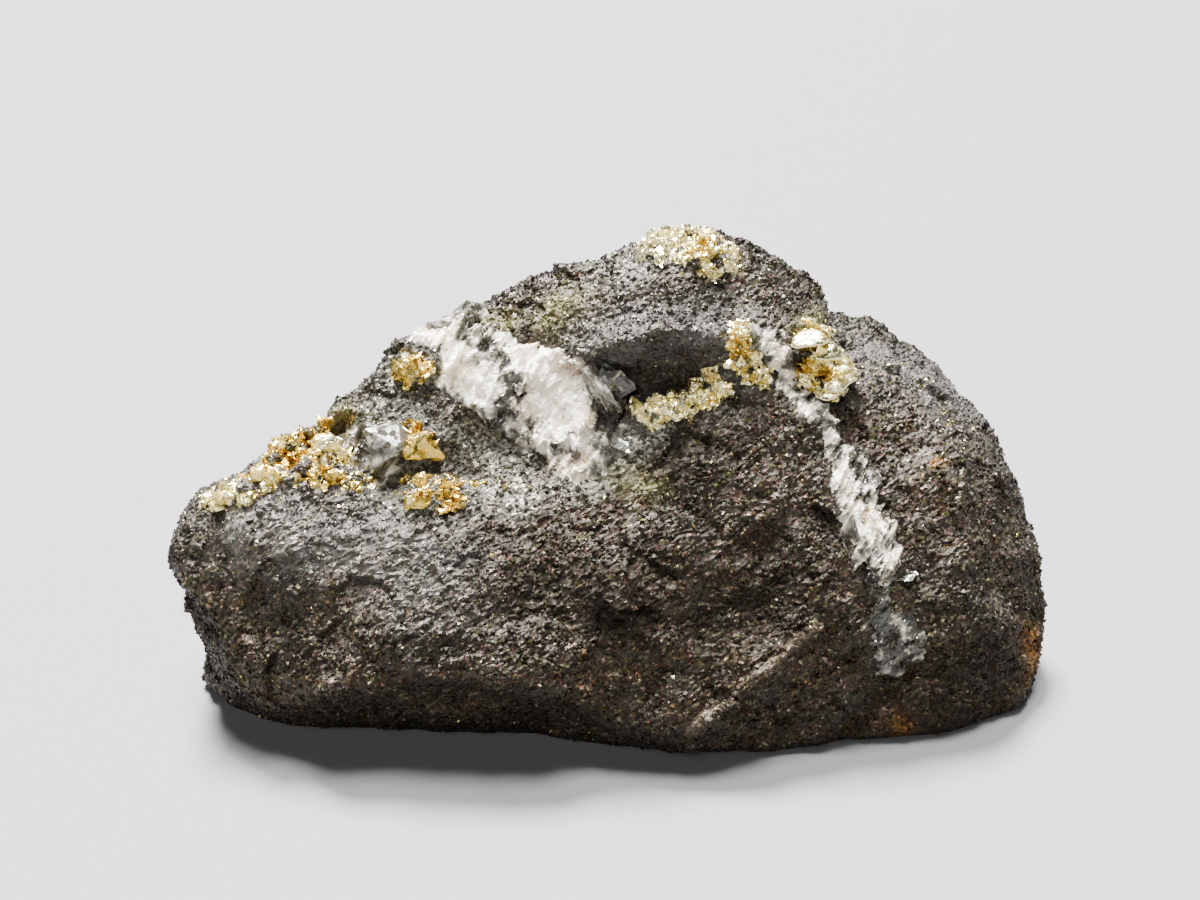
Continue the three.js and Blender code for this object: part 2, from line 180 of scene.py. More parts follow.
# %% Wrap the solids
VOXEL = 0.33
SWELL = 0.18
SANDING = 7  # rounds of relaxing
SAME_PLACE = 0.001  # corners closer than this are one corner: a solid arrives as loose triangles


def relaxed(values, edges, rounds, share=0.5):
    """Moves every point's values towards the mean of its neighbours, a few times."""
    count = len(values)
    ends = np.concatenate((edges, edges[:, ::-1]))
    ring = np.bincount(ends[:, 0], minlength=count)
    values = values.reshape(count, -1).copy()
    for _ in range(rounds):
        mean = np.stack(
            [np.bincount(ends[:, 0], column[ends[:, 1]], count) / ring for column in values.T], 1
        )
        values += share * (mean - values)
    return values


def wrapped(nodes):
    solid = bmesh.new()
    for node in nodes.values():
        solid.from_mesh(node.data)
    bmesh.ops.remove_doubles(solid, verts=solid.verts, dist=SAME_PLACE * MM)
    mesh = bpy.data.meshes.new("solids")
    solid.to_mesh(mesh)
    solid.free()
    set_points(mesh, points_of(mesh) + SWELL * normals_of(mesh))
    thing = new_object("solids", mesh)
    remesh = thing.modifiers.new("wrap", "REMESH")
    remesh.mode = "VOXEL"
    remesh.voxel_size = VOXEL * MM
    return result_of(thing, "skin")


skin = wrapped(frame["nodes"])
set_points(skin, relaxed(points_of(skin), edges_of(skin), SANDING))
set_points(skin, points_of(skin) - SWELL * normals_of(skin))
print("skin:", len(skin.vertices), "points,", round(area_of(skin)), "square mm")

# %% [markdown]
# ## Which mineral is where
# Every point of the skin belongs to the CAD solid that it lies nearest to. The number kept is how
# far inside that mineral's area the point is: positive inside, negative outside, zero on the line
# of contact. Such a number can be made ragged, narrowed or faded, which a list of faces can't.
# Everything that is shaped by it needs two measures first: smooth noise that follows the grain of
# the rock, and how near a place is to a spot or to a line.

# %% Noise and nearness
GRAIN_RISE = math.radians(17)  # the rock's grain rises to the right, as the CAD lump's does


def noise_at(points, size, stretch=1.0, apart=0.0):
    """Smooth noise from -1 to 1 at places in millimetres, with blobs that follow the grain.

    Two uses that are apart by a different number don't repeat each other's blobs."""
    along = points[:, 0] * math.cos(GRAIN_RISE) + points[:, 2] * math.sin(GRAIN_RISE)
    across = points[:, 2] * math.cos(GRAIN_RISE) - points[:, 0] * math.sin(GRAIN_RISE)
    places = np.stack((along / (size * stretch) + apart, points[:, 1] / size, across / size), 1)
    return np.array([noise.noise(place) for place in places.tolist()])


def near_place(points, place, reach):
    """1 at a place, fading out over the reach."""
    return np.exp(-((np.linalg.norm(points - place, axis=1) / reach) ** 2))


def distance_to_path(points, path):
    """How far each place is from a line through a few points."""
    nearest = np.full(len(points), np.inf)
    for start, end in zip(path[:-1], path[1:]):
        start, run = np.array(start), np.array(end) - np.array(start)
        share = np.clip((points - start) @ run / (run @ run), 0, 1)
        nearest = np.minimum(nearest, np.linalg.norm(points - start - share[:, None] * run, axis=1))
    return nearest


def near_path(points, path, reach):
    """1 on a path, fading out over the reach."""
    return np.exp(-((distance_to_path(points, path) / reach) ** 2))


# %% [markdown]
# ## Ragged contacts
# Minerals interlock as they grow, so the line between them has bays and tongues. The pyrite is a
# thin crust with holes where the rock shows through, and the right vein narrows in places. Each of
# these is taken off the number that says how far inside a mineral a point is.

# %% Zones
CONTACT_RAGGED = [(1.2, 0.6), (3.0, 0.5)]  # size and depth of the ragged edge's bays
FAR = 8.0  # no solid further away than this matters
HOLE_SIZE = 1.0
HOLE_STRETCH = 1.5
HOLE_DEPTH = 2.4
HOLES_APART = 60
WHOLE = {  # how whole each patch of pyrite is: at 0 it is half holes, at 0.5 it has none
    "pyrite_summit": 0.3, "pyrite_left_band": 0.06, "pyrite_nugget_left": 0.5,
    "pyrite_low_saddle": 0.02, "pyrite_quartz_corner": 0.15, "pyrite_centre_band": 0.16,
    "pyrite_nugget_right": 0.4,
}
TIGHTER = {  # how much smaller than its solid a patch is, where crystals stand proud of it
    "pyrite_nugget_left": 1.5, "pyrite_quartz_corner": 0.65, "pyrite_low_saddle": 0.5,
    "pyrite_summit": 0.3, "pyrite_left_band": 0.2, "pyrite_centre_band": 0.3,
    "pyrite_nugget_right": 0.3,
}
PINCHES = {  # where a filling narrows or is missing: the place, how much, and over what length
    "quartz_vein_right": [((16, -6, 21.2), 1.2, 1.4), ((21, -13, 11.4), 1.3, 1.5),
                          ((22.2, -15.9, 4.6), 1.6, 2.2), ((22.4, -16.3, 1), 2.4, 2.5)],
    "quartz_saddle": [((-9.4, 6.6, 27), 3.2, 2.2), ((-14.6, 7, 24.6), 2.4, 1.8)],
    "pyrite_left_band": [((-26.2, -6, 20.2), 1.6, 0.9), ((-22.4, -7.2, 20.3), 1.6, 0.7)],
}

QUARTZ = [name for name in frame["nodes"] if name.startswith("quartz")]
PYRITE = [name for name in frame["nodes"] if name.startswith("pyrite")]


def distances(points, node):
    """How far each place is from a CAD node's surface, up to FAR."""
    data = frame["nodes"][node].data
    corners = [v.co / MM for v in data.vertices]
    tree = BVHTree.FromPolygons(corners, [p.vertices for p in data.polygons])
    found = (tree.find_nearest(point, FAR)[3] for point in points.tolist())
    return np.array([FAR if far is None else far for far in found])


def zones_at(points):
    """For each CAD node, how far inside that node's own area each place lies."""
    away = {node: distances(points, node) for node in frame["nodes"]}
    ragged = sum(depth * noise_at(points, size, apart=size) for size, depth in CONTACT_RAGGED)
    zones = {}
    for node in away:
        others = np.min([away[other] for other in away if other != node], axis=0)
        zones[node] = others - away[node] + ragged
        for place, narrower, length in PINCHES.get(node, []):
            zones[node] -= narrower * near_place(points, place, length)
        if node in WHOLE:
            solid = noise_at(points, HOLE_SIZE, HOLE_STRETCH, apart=HOLES_APART) + WHOLE[node]
            zones[node] = np.minimum(zones[node] - TIGHTER[node], HOLE_DEPTH * solid)
    return zones


zones = zones_at(points_of(skin))
for node, inside in zones.items():
    put_number(skin, node, inside)
    print(f"{node}: {np.mean(inside > 0):.1%} of the skin")

# %% [markdown]
# ## Lumps that all the minerals share
# A hammer blow breaks through everything at once, so the coarse shape of the break runs on from
# the magnetite into the quartz. Smooth noise fits it, because the break follows no crystal's face.
# Three layers of it are enough, each with smaller and lower lumps than the one before.

# %% Coarse relief
COARSE = [  # blob size, stretch, height, and how far the layer's noise is apart from the others'
    (3.6, 1.7, 0.38, 5), (1.5, 1.2, 0.17, 8), (0.7, 1.0, 0.08, 11),
]
BASE_FADE = 1.6  # the relief dies out towards the flat base


def fading_at_base(points):
    return np.clip(points[:, 2] / BASE_FADE, 0, 1)


def raised(mesh, height):
    """Moves every point of a mesh outwards by its height, and not at all at the base."""
    points = points_of(mesh)
    points = points + normals_of(mesh) * (height * fading_at_base(points))[:, None]
    points[:, 2] = np.maximum(points[:, 2], 0)
    set_points(mesh, points)


coarse = np.zeros(len(skin.vertices))
for size, stretch, height, apart in COARSE:
    coarse += height * noise_at(points_of(skin), size, stretch, apart)
raised(skin, coarse)
print("coarse relief from", round(coarse.min(), 2), "to", round(coarse.max(), 2), "mm")

# %% [markdown]
# ## The magnetite body
# Granular magnetite breaks round its grains. Each little area of the break is one flat face at its
# own angle, with a step to the next, so the height comes from tilted planes and not from smooth
# noise. Each point takes the plane of the centre that it is nearest to.

# %% Facets
FEWEST_FACETS = 8


def facets_at(points, area, size, slope, seed, grown=(0, 0, 0)):
    """Height of flat facets: each place takes the tilted plane of its nearest centre.

    Facets are drawn out along the way that the mineral has grown, if one is given."""
    random = np.random.default_rng(seed)
    count = max(FEWEST_FACETS, int(area / size**2))
    centres = points[random.choice(len(points), count, replace=False)]
    tilts = random.normal(0, slope, (count, 3))
    squeezed = np.identity(3) - np.outer(grown, grown)
    tree = KDTree(count)
    for index, centre in enumerate(centres @ squeezed):
        tree.insert(centre, index)
    tree.balance()
    nearest = np.array([tree.find(point)[1] for point in (points @ squeezed).tolist()])
    return np.einsum("ij,ij->i", points - centres[nearest], tilts[nearest])


# %% [markdown]
# ## Shaping the body
# The body is pushed in where quartz or pyrite fills it, so that a filling lies in a trough of its
# own. A few holes are deeper, because crystals fell out there. The thin rib across the front is
# altered rock, which is tougher than the rest and stands out after the break.

# %% Magnetite body
CHUNKS = [(2.8, 0.08, 11), (0.9, 0.1, 12)]  # facet size, slope, seed
PITS = [  # dark holes beside the left band and the right nugget: the place, how wide, how deep
    ((-24, -4.4, 21.2), 0.8, 1.8), ((-23.1, -4.1, 21.4), 0.8, 1.8), ((-22.2, -3.7, 21.5), 0.8, 1.8),
    ((-25.5, -6.8, 20.4), 0.7, 1.0), ((-28, -6.6, 19.7), 0.6, 0.9),
    ((15.8, -2.5, 25.3), 0.6, 1.0), ((16.9, -2.2, 25.2), 0.6, 1.0),
]
RIB = [(5.3, -19.8, 4.3), (7, -19.3, 5.5), (8.7, -18.5, 6.5), (10.4, -17.9, 8), (12.1, -16.9, 8.8),
       (13.6, -16.3, 10), (15, -15.7, 11)]  # a thin rib of altered rock across the front
RIB_RISE = 0.4
RIB_HALF = 0.42  # half its width
ROUGH = 0.05  # how far a single point strays, so that no row of points shows
ROUGH_SEED = 5
TROUGH_SLOPE = 1.3
TROUGH_DEPTH = {"quartz": 1.5, "pyrite": 0.5}


def pits_at(points):
    """How deep each place lies in a pit."""
    return sum(deep * near_place(points, place, reach) for place, reach, deep in PITS)


body = skin.copy()
body.name = "magnetite_body"
height = np.zeros(len(body.vertices))
for size, slope, seed in CHUNKS:
    height += facets_at(points_of(body), area_of(body), size, slope, seed)
filled = {
    "quartz": np.max([zones[node] for node in QUARTZ], axis=0),
    "pyrite": np.max([zones[node] for node in PYRITE], axis=0),
}
for mineral, inside in filled.items():
    height -= np.clip(inside * TROUGH_SLOPE, 0, TROUGH_DEPTH[mineral])
height -= pits_at(points_of(body))
height += RIB_RISE * near_path(points_of(body), RIB, RIB_HALF)
raised(body, height)
astray = np.random.default_rng(ROUGH_SEED).normal(0, ROUGH, (len(height), 3))
set_points(body, points_of(body) + astray * fading_at_base(points_of(body))[:, None])
magnetite_body = new_object("magnetite_body", body)
print("magnetite body:", len(body.polygons), "faces,", round(area_of(body)), "square mm")

# %% [markdown]
# ## Weathering, painted light and painted shade
# Iron in the ore and in the pyrite rusts where water reaches it, and makes orange skins. A green film
# of other minerals lies along the top ledge, rock that is half quartz is pale, and fine pyrite dusts
# the shoulders. The silver patches are painted light: a paler grey on the front's left, the right
# shoulder and the hollow under the ledge. The dark ones are painted shade, over the front's middle
# and low edge, the low right end and the back.
# A stain could be painted by hand, but a path over the surface that fades out with distance is
# easier to move: only its points are moved.

# %% Where the stains, the painted light and the painted shade lie
STAINS_AND_PAINTED_SHADING = {
    # for each stain: paths in millimetres, each with how far it reaches
    "olive": [
        ([(-5.6, 0.4, 28.8), (-3.6, 1.2, 29.6)], 1.7),
        ([(-12.2, 1.1, 27.3), (-8.8, 1.4, 28)], 1.2),
        ([(-25.4, -4.4, 21), (-22, -3, 22.2)], 1.5),
        ([(14.6, -1, 29.4), (17.5, 2.5, 26)], 1.5),
        ([(-0.6, -7.8, 19.8), (2.6, -9, 19)], 1.2),
    ],
    "rust": [
        ([(33.4, -10.4, 5.6), (33.6, -11.4, 2.6)], 1.3),
        ([(24.7, -5.6, 18.9), (25.4, -5.2, 19)], 0.45),
        ([(22.4, -16.4, 0.4), (21.7, -16.4, 2)], 0.9),
        ([(-4.3, -2.3, 26.1), (-3, -2.8, 25.4)], 0.8),
        ([(-4.4, -6.8, 19.8), (-2.2, -6.6, 20.6)], 0.7),
    ],
    "pale": [  # rock that is half quartz
        ([(-17.6, -7, 19.6), (-13.2, -4.8, 21), (-11, -5, 20.4), (-8.6, -5.8, 19.4)], 1.7),
        ([(-17, -9.6, 18.5), (-12.6, -9.2, 19), (-9, -7.4, 18.6), (-7.7, -9.4, 18.2)], 1.4),
        ([(-19.6, -2.4, 22.2), (-15.6, -3.4, 22.6)], 1.0),
        ([(-2.3, -8.7, 19.5), (0, -7, 21.1), (1.5, -6.4, 21.9), (3, -5.6, 23)], 1.2),
        ([(0.7, 3.5, 32.2), (2, 3.2, 32.8)], 1.3),
        ([(-17, -1.4, 25), (-14, -1.4, 25.4)], 1.8),
    ],
    "tan": [(RIB, RIB_HALF)],
    "dust": [
        ([(17.5, 2.4, 25.6), (20, 2, 23.6), (24.5, 1.4, 21.2), (27, -1.5, 19.6)], 3.0),
        ([(-30, -8, 17.5), (-20, -4, 21.5)], 2.6),
        ([(-14, -7.5, 19.5), (-8, -7.4, 19)], 1.6),
    ],
    # painted light: a paler grey at the right shoulder, on the front's left and in the hollow under
    # the ledge
    "silver": [
        ([(24, 3, 22), (24.6, 1.8, 21.6), (25.9, -2.4, 20.1)], 0.8),
        ([(20.5, 4, 23.4), (27.5, 4, 20)], 3.2),
        ([(-28, -11.6, 17.4), (-19.6, -12.8, 16.9), (-15, -14.4, 15.3)], 4.0),
        ([(-1.5, -2.5, 26.1), (1.5, -2.4, 27.5), (5, -3.6, 28.4), (7.3, -3.2, 28)], 3.6),
    ],
    # painted shade: darker over the front's middle and low edge, the low right end and the back
    "dark": [
        ([(-8, -14, 15), (0, -14.6, 13.4), (6, -14.6, 12.4), (12, -14, 12)], 5.0),
        ([(24, -14.4, 4), (29, -13.4, 5), (33, -9, 6)], 5.5),
        ([(2, -8, 21), (8, -8, 22)], 2.0),
        ([(-33, -10, 10), (-22, -16, 9), (-8, -17, 8)], 2.6),
        ([(-30, 2, 10), (-16, 12, 12), (0, 17, 14), (18, 14, 16), (33, 2, 10)], 9.0),
    ],
}
print("stains:", {stain: len(strokes) for stain, strokes in STAINS_AND_PAINTED_SHADING.items()})

# %% [markdown]
# ## Storing the stains, painted light and painted shade on a mesh
# A material can't see paths, so the strength of each stain, and of the painted light and painted
# shade, is worked out here and stored at the mesh's points. Noise breaks every stain up, as rain and
# handling do, and breaks up the painted light and shade the same way. Three more numbers are stored
# with them: how far the surface faces the front, how far it hangs over, which the finish darkens as
# painted shade, and a slow change of tone.

# %% Weathering and painted light and shade
PATCH = 3.2  # size of the soft patches of tone, and twice that of the gaps in a stain
STAIN_SHARE, STAIN_SWING = 0.75, 0.6  # how much of a stain is there, and how far that swings
STAINS_APART, TONE_APART = 20, 31
TONE_STRETCH = 2.0
BROADLY = 12  # rounds of relaxing after which only the broad turn of the surface is left
UNDERSIDE_SHADE_FROM, UNDERSIDE_SHADE_GAIN = 0.2, 2  # painted shade begins a little before a face is upright


def strongest(points, strokes):
    """How strongly the nearest of several fading paths is felt at each place."""
    return np.max([near_path(points, path, reach) for path, reach in strokes], axis=0)


def weather_and_painted_shading(mesh):
    """Stores every stain, the painted light and the painted shade on a mesh, and how far it faces the
    front or down.
    """
    points = points_of(mesh)
    # the stains include the painted light and the painted shade
    for number, (stain, strokes) in enumerate(STAINS_AND_PAINTED_SHADING.items()):
        gaps = STAIN_SWING * noise_at(points, PATCH / 2, apart=STAINS_APART + number)
        put_number(mesh, stain, np.clip(strongest(points, strokes) * (STAIN_SHARE + gaps), 0, 1))
    facing = relaxed(normals_of(mesh), edges_of(mesh), BROADLY)
    put_number(mesh, "front", np.clip(-facing[:, 1], 0, 1))
    # painted shade: how far the surface turns down
    put_number(mesh, "under", np.clip(UNDERSIDE_SHADE_FROM - UNDERSIDE_SHADE_GAIN * facing[:, 2], 0, 1))
    tone = noise_at(points, PATCH, TONE_STRETCH, TONE_APART)
    put_number(mesh, "tone", np.clip(0.5 + 0.5 * tone, 0, 1))


weather_and_painted_shading(body)
print("mean strength:", {stain: round(number_on(body, stain).mean(), 3) for stain in STAINS_AND_PAINTED_SHADING})

# %% [markdown]
# ## Building a finish from nodes
# A material is a small tree of nodes. The first helper adds one node, and either sets each of its
# inputs or links it to another node. The others name what a few nodes do together, so that a finish
# can be read from top to bottom like a recipe.


# %% Node helpers
def add_node(tree, kind, inputs=None, **settings):
    """Adds a node. Each input is a value, or the output socket that feeds it."""
    node = tree.nodes.new(kind)
    for key, value in settings.items():
        setattr(node, key, value)
    for key, value in (inputs or {}).items():
        if isinstance(value, bpy.types.NodeSocket):
            tree.links.new(value, node.inputs[key])
        else:
            node.inputs[key].default_value = value
    return node


def colour_mix(tree, share, first, second, how="MIX"):
    """Mixes two colours, each given as a socket or as red, green and blue."""
    mix = tree.nodes.new("ShaderNodeMix")
    mix.data_type = "RGBA"
    mix.blend_type = how
    for socket, value in ((mix.inputs[0], share), (mix.inputs[6], first), (mix.inputs[7], second)):
        if isinstance(value, bpy.types.NodeSocket):
            tree.links.new(value, socket)
        elif isinstance(value, tuple):
            socket.default_value = (*value, 1)
        else:
            socket.default_value = value
    return mix.outputs[2]


def ramp(tree, value, stops, smooth=False):
    """Turns a value from 0 to 1 into a colour, or a grey, by a few stops."""
    node = tree.nodes.new("ShaderNodeValToRGB")
    node.color_ramp.interpolation = "EASE" if smooth else "LINEAR"
    marks = node.color_ramp.elements
    while len(marks) < len(stops):
        marks.new(0.5)
    for mark, (place, colour) in zip(marks, stops):
        mark.position = place
        mark.color = (*colour, 1) if isinstance(colour, tuple) else (colour, colour, colour, 1)
    tree.links.new(value, node.inputs[0])
    return node.outputs[0]


def tinted(tree, share, colour, tint):
    """Multiplies a colour by a tint, where the share is 1."""
    return colour_mix(tree, share, colour, colour_mix(tree, 1.0, colour, tint, "MULTIPLY"))


# %% Helpers for sums and for what is stored
def times(tree, first, second):
    return add_node(tree, "ShaderNodeMath", {0: first, 1: second}, operation="MULTIPLY").outputs[0]


def plus(tree, first, second):
    return add_node(tree, "ShaderNodeMath", {0: first, 1: second}, operation="ADD").outputs[0]


def spread(tree, value, least, most, ends=(0.0, 1.0)):
    """Turns a value that runs between two ends into one that runs from least to most."""
    return add_node(
        tree, "ShaderNodeMapRange",
        {"Value": value, "From Min": ends[0], "From Max": ends[1], "To Min": least, "To Max": most},
    ).outputs[0]


def stored(tree, name):
    """A number that was stored at the points of the mesh."""
    return add_node(tree, "ShaderNodeAttribute", attribute_name=name).outputs["Fac"]


def vector_maths(tree, how, inputs):
    return add_node(tree, "ShaderNodeVectorMath", inputs, operation=how).outputs[0]


# %% Helpers for patterns and for the finish itself
def millimetres(tree):
    """Places on the piece, counted in millimetres."""
    place = add_node(tree, "ShaderNodeTexCoord").outputs["Object"]
    return vector_maths(tree, "SCALE", {0: place, "Scale": 1 / MM})


def clouds(tree, place, per_mm, detail):
    """Noise from 0 to 1, with so many blobs to a millimetre and so many finer layers."""
    inputs = {"Vector": place, "Scale": per_mm, "Detail": detail}
    return add_node(tree, "ShaderNodeTexNoise", inputs).outputs[0]


def small_cells(tree, place, size):
    """Cells with a random colour each, which gives every cell three random numbers."""
    cells = add_node(tree, "ShaderNodeTexVoronoi", {"Vector": place, "Scale": 1 / size})
    return cells.outputs["Color"]


def turned_faces(tree, cells, lean):
    """A surface direction that every small cell turns its own way, so that some cells glint."""
    centred = vector_maths(tree, "SUBTRACT", {0: cells, 1: (0.5, 0.5, 0.5)})
    leaning = vector_maths(tree, "SCALE", {0: centred, "Scale": lean})
    facing = add_node(tree, "ShaderNodeNewGeometry").outputs["Normal"]
    return vector_maths(tree, "NORMALIZE", {0: vector_maths(tree, "ADD", {0: facing, 1: leaning})})


def put_bumps(tree, shader, height, strength, depth, facing=None):
    """Bumps up to a depth in millimetres, on the surface's own direction or on a given one."""
    inputs = {"Height": height, "Strength": strength, "Distance": depth * MM}
    if facing is not None:
        inputs["Normal"] = facing
    bumps = add_node(tree, "ShaderNodeBump", inputs)
    tree.links.new(bumps.outputs[0], shader.inputs["Normal"])


def new_finish(name, constants):
    """A material with one Principled shader. Values that are the same everywhere are set on it."""
    material = bpy.data.materials.new(name)
    material.use_nodes = True
    tree = material.node_tree
    tree.nodes.clear()
    shader = add_node(tree, "ShaderNodeBsdfPrincipled", constants)
    add_node(tree, "ShaderNodeOutputMaterial", {"Surface": shader.outputs[0]})
    return material, tree, shader


# %% [markdown]
# ## The finish of magnetite
# Magnetite is black with a metal's glint. Seen close, no two grains are the same: most are dark,
# some have caught a little rust, and a few turn a bright face to the light. An image texture would
# need a flat map of the stone, so a Voronoi texture does it: each small cell gets its own random
# numbers, which set how dark and how glossy that grain is and which way it leans.
# The colour starts from that chance. Tints then multiply it: warm patches on the front, and purple
# and green ones all over. Painted shade darkens the places marked for it and the faces that turn
# down. Last come the skins, which cover it; the first of them is painted light, a paler grey.

# %% Colours of magnetite
BLACK_TO_SILVER = [
    (0.0, (0.005, 0.0046, 0.0043)), (0.5, (0.0165, 0.015, 0.0135)), (0.8, (0.037, 0.034, 0.03)),
    (0.95, (0.085, 0.08, 0.072)), (1.0, (0.21, 0.205, 0.195)),
]
PATCHES_PER_MM, HUES_PER_MM = 0.8, 2.2
WARM_PATCHES = [(0.4, 0.0), (0.62, 1.0)]  # stops: a place on the noise, and what it gives there
BLOTCHES = [(0.38, 1.4), (0.62, 0.6)]
PURPLE_PATCHES = [(0.35, 1.0), (0.48, 0.0)]
GREEN_PATCHES = [(0.54, 0.0), (0.66, 1.0)]
DARK_TO_LIGHT = [(0.3, 0.5), (0.7, 1.2)]
# the last two tints are painted shade: over the places marked for it, and where the surface turns
# down
TINTS = {
    "warm": (1.38, 1.0, 0.56), "front": (1.05, 0.97, 0.74), "purple": (1.3, 0.75, 0.95),
    "green": (0.95, 1.15, 0.55), "dark": (0.36, 0.31, 0.24), "under": (0.35, 0.33, 0.3),
}
SKINS = [  # stain, colour, and how much it covers: None where it shows on single grains
    # the first skin is painted light, a paler grey laid over the grains
    ("silver", (0.135, 0.132, 0.124), 0.5),
    ("olive", (0.15, 0.14, 0.055), 0.6),
    ("rust", (0.24, 0.1, 0.012), None),
    ("tan", (0.17, 0.13, 0.085), 0.8),
    ("pale", (0.34, 0.34, 0.28), None),
]
ON_SINGLE_GRAINS = [(0.25, 0.1), (0.85, 0.9)]


def magnetite_colour(tree, place, chance):
    patches = clouds(tree, place, PATCHES_PER_MM, 4.0)
    hues = clouds(tree, place, HUES_PER_MM, 2.0)
    front = stored(tree, "front")
    warm = times(tree, ramp(tree, patches, WARM_PATCHES, smooth=True), front)
    colour = ramp(tree, chance, BLACK_TO_SILVER)
    colour = tinted(tree, warm, colour, TINTS["warm"])
    colour = tinted(tree, front, colour, TINTS["front"])
    colour = colour_mix(tree, 1.0, colour, ramp(tree, patches, BLOTCHES), "MULTIPLY")
    colour = tinted(tree, ramp(tree, hues, PURPLE_PATCHES), colour, TINTS["purple"])
    colour = tinted(tree, ramp(tree, hues, GREEN_PATCHES), colour, TINTS["green"])
    tone = ramp(tree, stored(tree, "tone"), DARK_TO_LIGHT)
    colour = colour_mix(tree, 1.0, colour, tone, "MULTIPLY")
    # painted shade: darker over the marked places and where the surface turns down
    for shade in ("dark", "under"):
        colour = tinted(tree, stored(tree, shade), colour, TINTS[shade])
    bits = ramp(tree, chance, ON_SINGLE_GRAINS)
    # the first skin laid on here is painted light
    for stain, skin_colour, cover in SKINS:
        share = times(tree, stored(tree, stain), bits if cover is None else cover)
        colour = colour_mix(tree, share, colour, skin_colour)
    return colour


print("tints and skins of magnetite:", ", ".join([*TINTS, *(stain for stain, *_ in SKINS)]))

# %% [markdown]
# ## How magnetite shines
# The same chance makes the palest grains the glossiest, because those are the clean faces. Where
# shade is painted, the grains are duller too. The body's grains lean far and are pitted, but the
# loose crystals have real faces of their own, so on them the pattern leans and pits only a little.

# %% Magnetite finish
GRAIN = 0.22  # a grain's size in millimetres
BODY_FACES = (0.5, 0.6)  # how far a small face may lean, and how strongly it is pitted
CRYSTAL_FACES = (0.12, 0.15)
MAGNETITE_LOOKS = {"IOR": 1.42, "Specular Tint": (0.8, 0.72, 0.6, 1)}
DULL_TO_BRIGHT = [(0, 0.6), (0.6, 0.42), (0.9, 0.26), (1, 0.18)]  # roughness
PAINTED_SHADE_DULLS = 0.35
METAL_GRAINS = [(0.75, 0.0), (1, 0.6)]
PITS_PER_MM, PIT_DEPTH = 7.0, 0.1


def magnetite_finish(name, grain_number, faces):
    """grain_number makes the socket that holds each grain's random number."""
    lean, pitted = faces
    material, tree, shader = new_finish(name, MAGNETITE_LOOKS)
    place = millimetres(tree)
    cells = small_cells(tree, place, GRAIN)
    chance = grain_number(tree, cells)
    dulled = times(tree, stored(tree, "dark"), PAINTED_SHADE_DULLS)
    for socket, value in (
        ("Base Color", magnetite_colour(tree, place, chance)),
        ("Roughness", plus(tree, ramp(tree, chance, DULL_TO_BRIGHT), dulled)),
        ("Metallic", ramp(tree, chance, METAL_GRAINS)),
    ):
        tree.links.new(value, shader.inputs[socket])
    pits = clouds(tree, place, PITS_PER_MM, 2.0)
    put_bumps(tree, shader, pits, pitted, PIT_DEPTH, turned_faces(tree, cells, lean))
    return material


def number_from_cell(tree, cells):
    return add_node(tree, "ShaderNodeSeparateColor", {0: cells}).outputs[0]


def number_from_crystal(tree, cells):
    return stored(tree, "chance")


magnetite = magnetite_finish("magnetite", number_from_cell, BODY_FACES)
magnetite_crystal = magnetite_finish("magnetite_crystal", number_from_crystal, CRYSTAL_FACES)
body.materials.clear()
body.materials.append(magnetite)
print("magnetite finish:", len(magnetite.node_tree.nodes), "nodes")

# %% [markdown]
# ## Crystals to scatter
# Magnetite crystals are octahedra: two four-sided pyramids, base to base. Pyrite makes cubes with
# worn corners and twelve-sided crystals with five-sided faces, and where it was broken, chips. A
# convex hull makes nearly all of them: only the corners are given. Each shape has at most a few
# dozen faces, because it is repeated thousands of times.

# %% Shapes of crystals
OCTAHEDRON_REACH = 0.5
CUBE, CHAMFER = 0.8, 0.104  # edge, and how much of it is cut off
PYRITOHEDRON_REACH, PYRITOHEDRON_STEP = 0.42, 0.5
CHIP_CORNERS = 11
CHIP_REACH = (0.4, 0.6)  # how far from the middle a chip's corners may be
CHIP_SHAPE = (1.3, 1.05, 0.6)


def crystal_object(name, shape, material):
    mesh = bpy.data.meshes.new(name)
    bmesh.ops.recalc_face_normals(shape, faces=shape.faces)
    shape.to_mesh(mesh)
    shape.free()
    mesh.materials.append(material)
    return bpy.data.objects.new(name, mesh)


def hull_of(corners):
    shape = bmesh.new()
    for corner in corners:
        shape.verts.new(corner)
    found = bmesh.ops.convex_hull(shape, input=shape.verts)
    loose = [part for part in found["geom_interior"] if isinstance(part, bmesh.types.BMVert)]
    bmesh.ops.delete(shape, geom=loose, context="VERTS")
    return shape


def octahedron(long=1.0, flat=1.0):
    r = OCTAHEDRON_REACH
    return hull_of([(r * long, 0, 0), (-r * long, 0, 0), (0, r, 0), (0, -r, 0),
                    (0, 0, r * flat), (0, 0, -r * flat)])


def worn_cube():
    shape = bmesh.new()
    bmesh.ops.create_cube(shape, size=CUBE)
    bmesh.ops.bevel(shape, geom=shape.edges, offset=CHAMFER, segments=1, affect="EDGES")
    bmesh.ops.triangulate(shape, faces=shape.faces)
    return shape


def pyritohedron():
    """The twelve-sided crystal that is named after pyrite."""
    r, step = PYRITOHEDRON_REACH, PYRITOHEDRON_STEP
    corners = [(x, y, z) for x in (-r, r) for y in (-r, r) for z in (-r, r)]
    for a in (-r * (1 + step), r * (1 + step)):
        for b in (-r * (1 - step**2), r * (1 - step**2)):
            corners += [(0, b, a), (b, a, 0), (a, 0, b)]
    return hull_of(corners)


def broken_bit(seed, corners=CHIP_CORNERS):
    """A chip with no crystal faces, as the hull of a few random corners."""
    random = np.random.default_rng(seed)
    rays = random.normal(size=(corners, 3))
    rays *= random.uniform(*CHIP_REACH, (corners, 1)) / np.linalg.norm(rays, axis=1)[:, None]
    return hull_of(rays * CHIP_SHAPE)


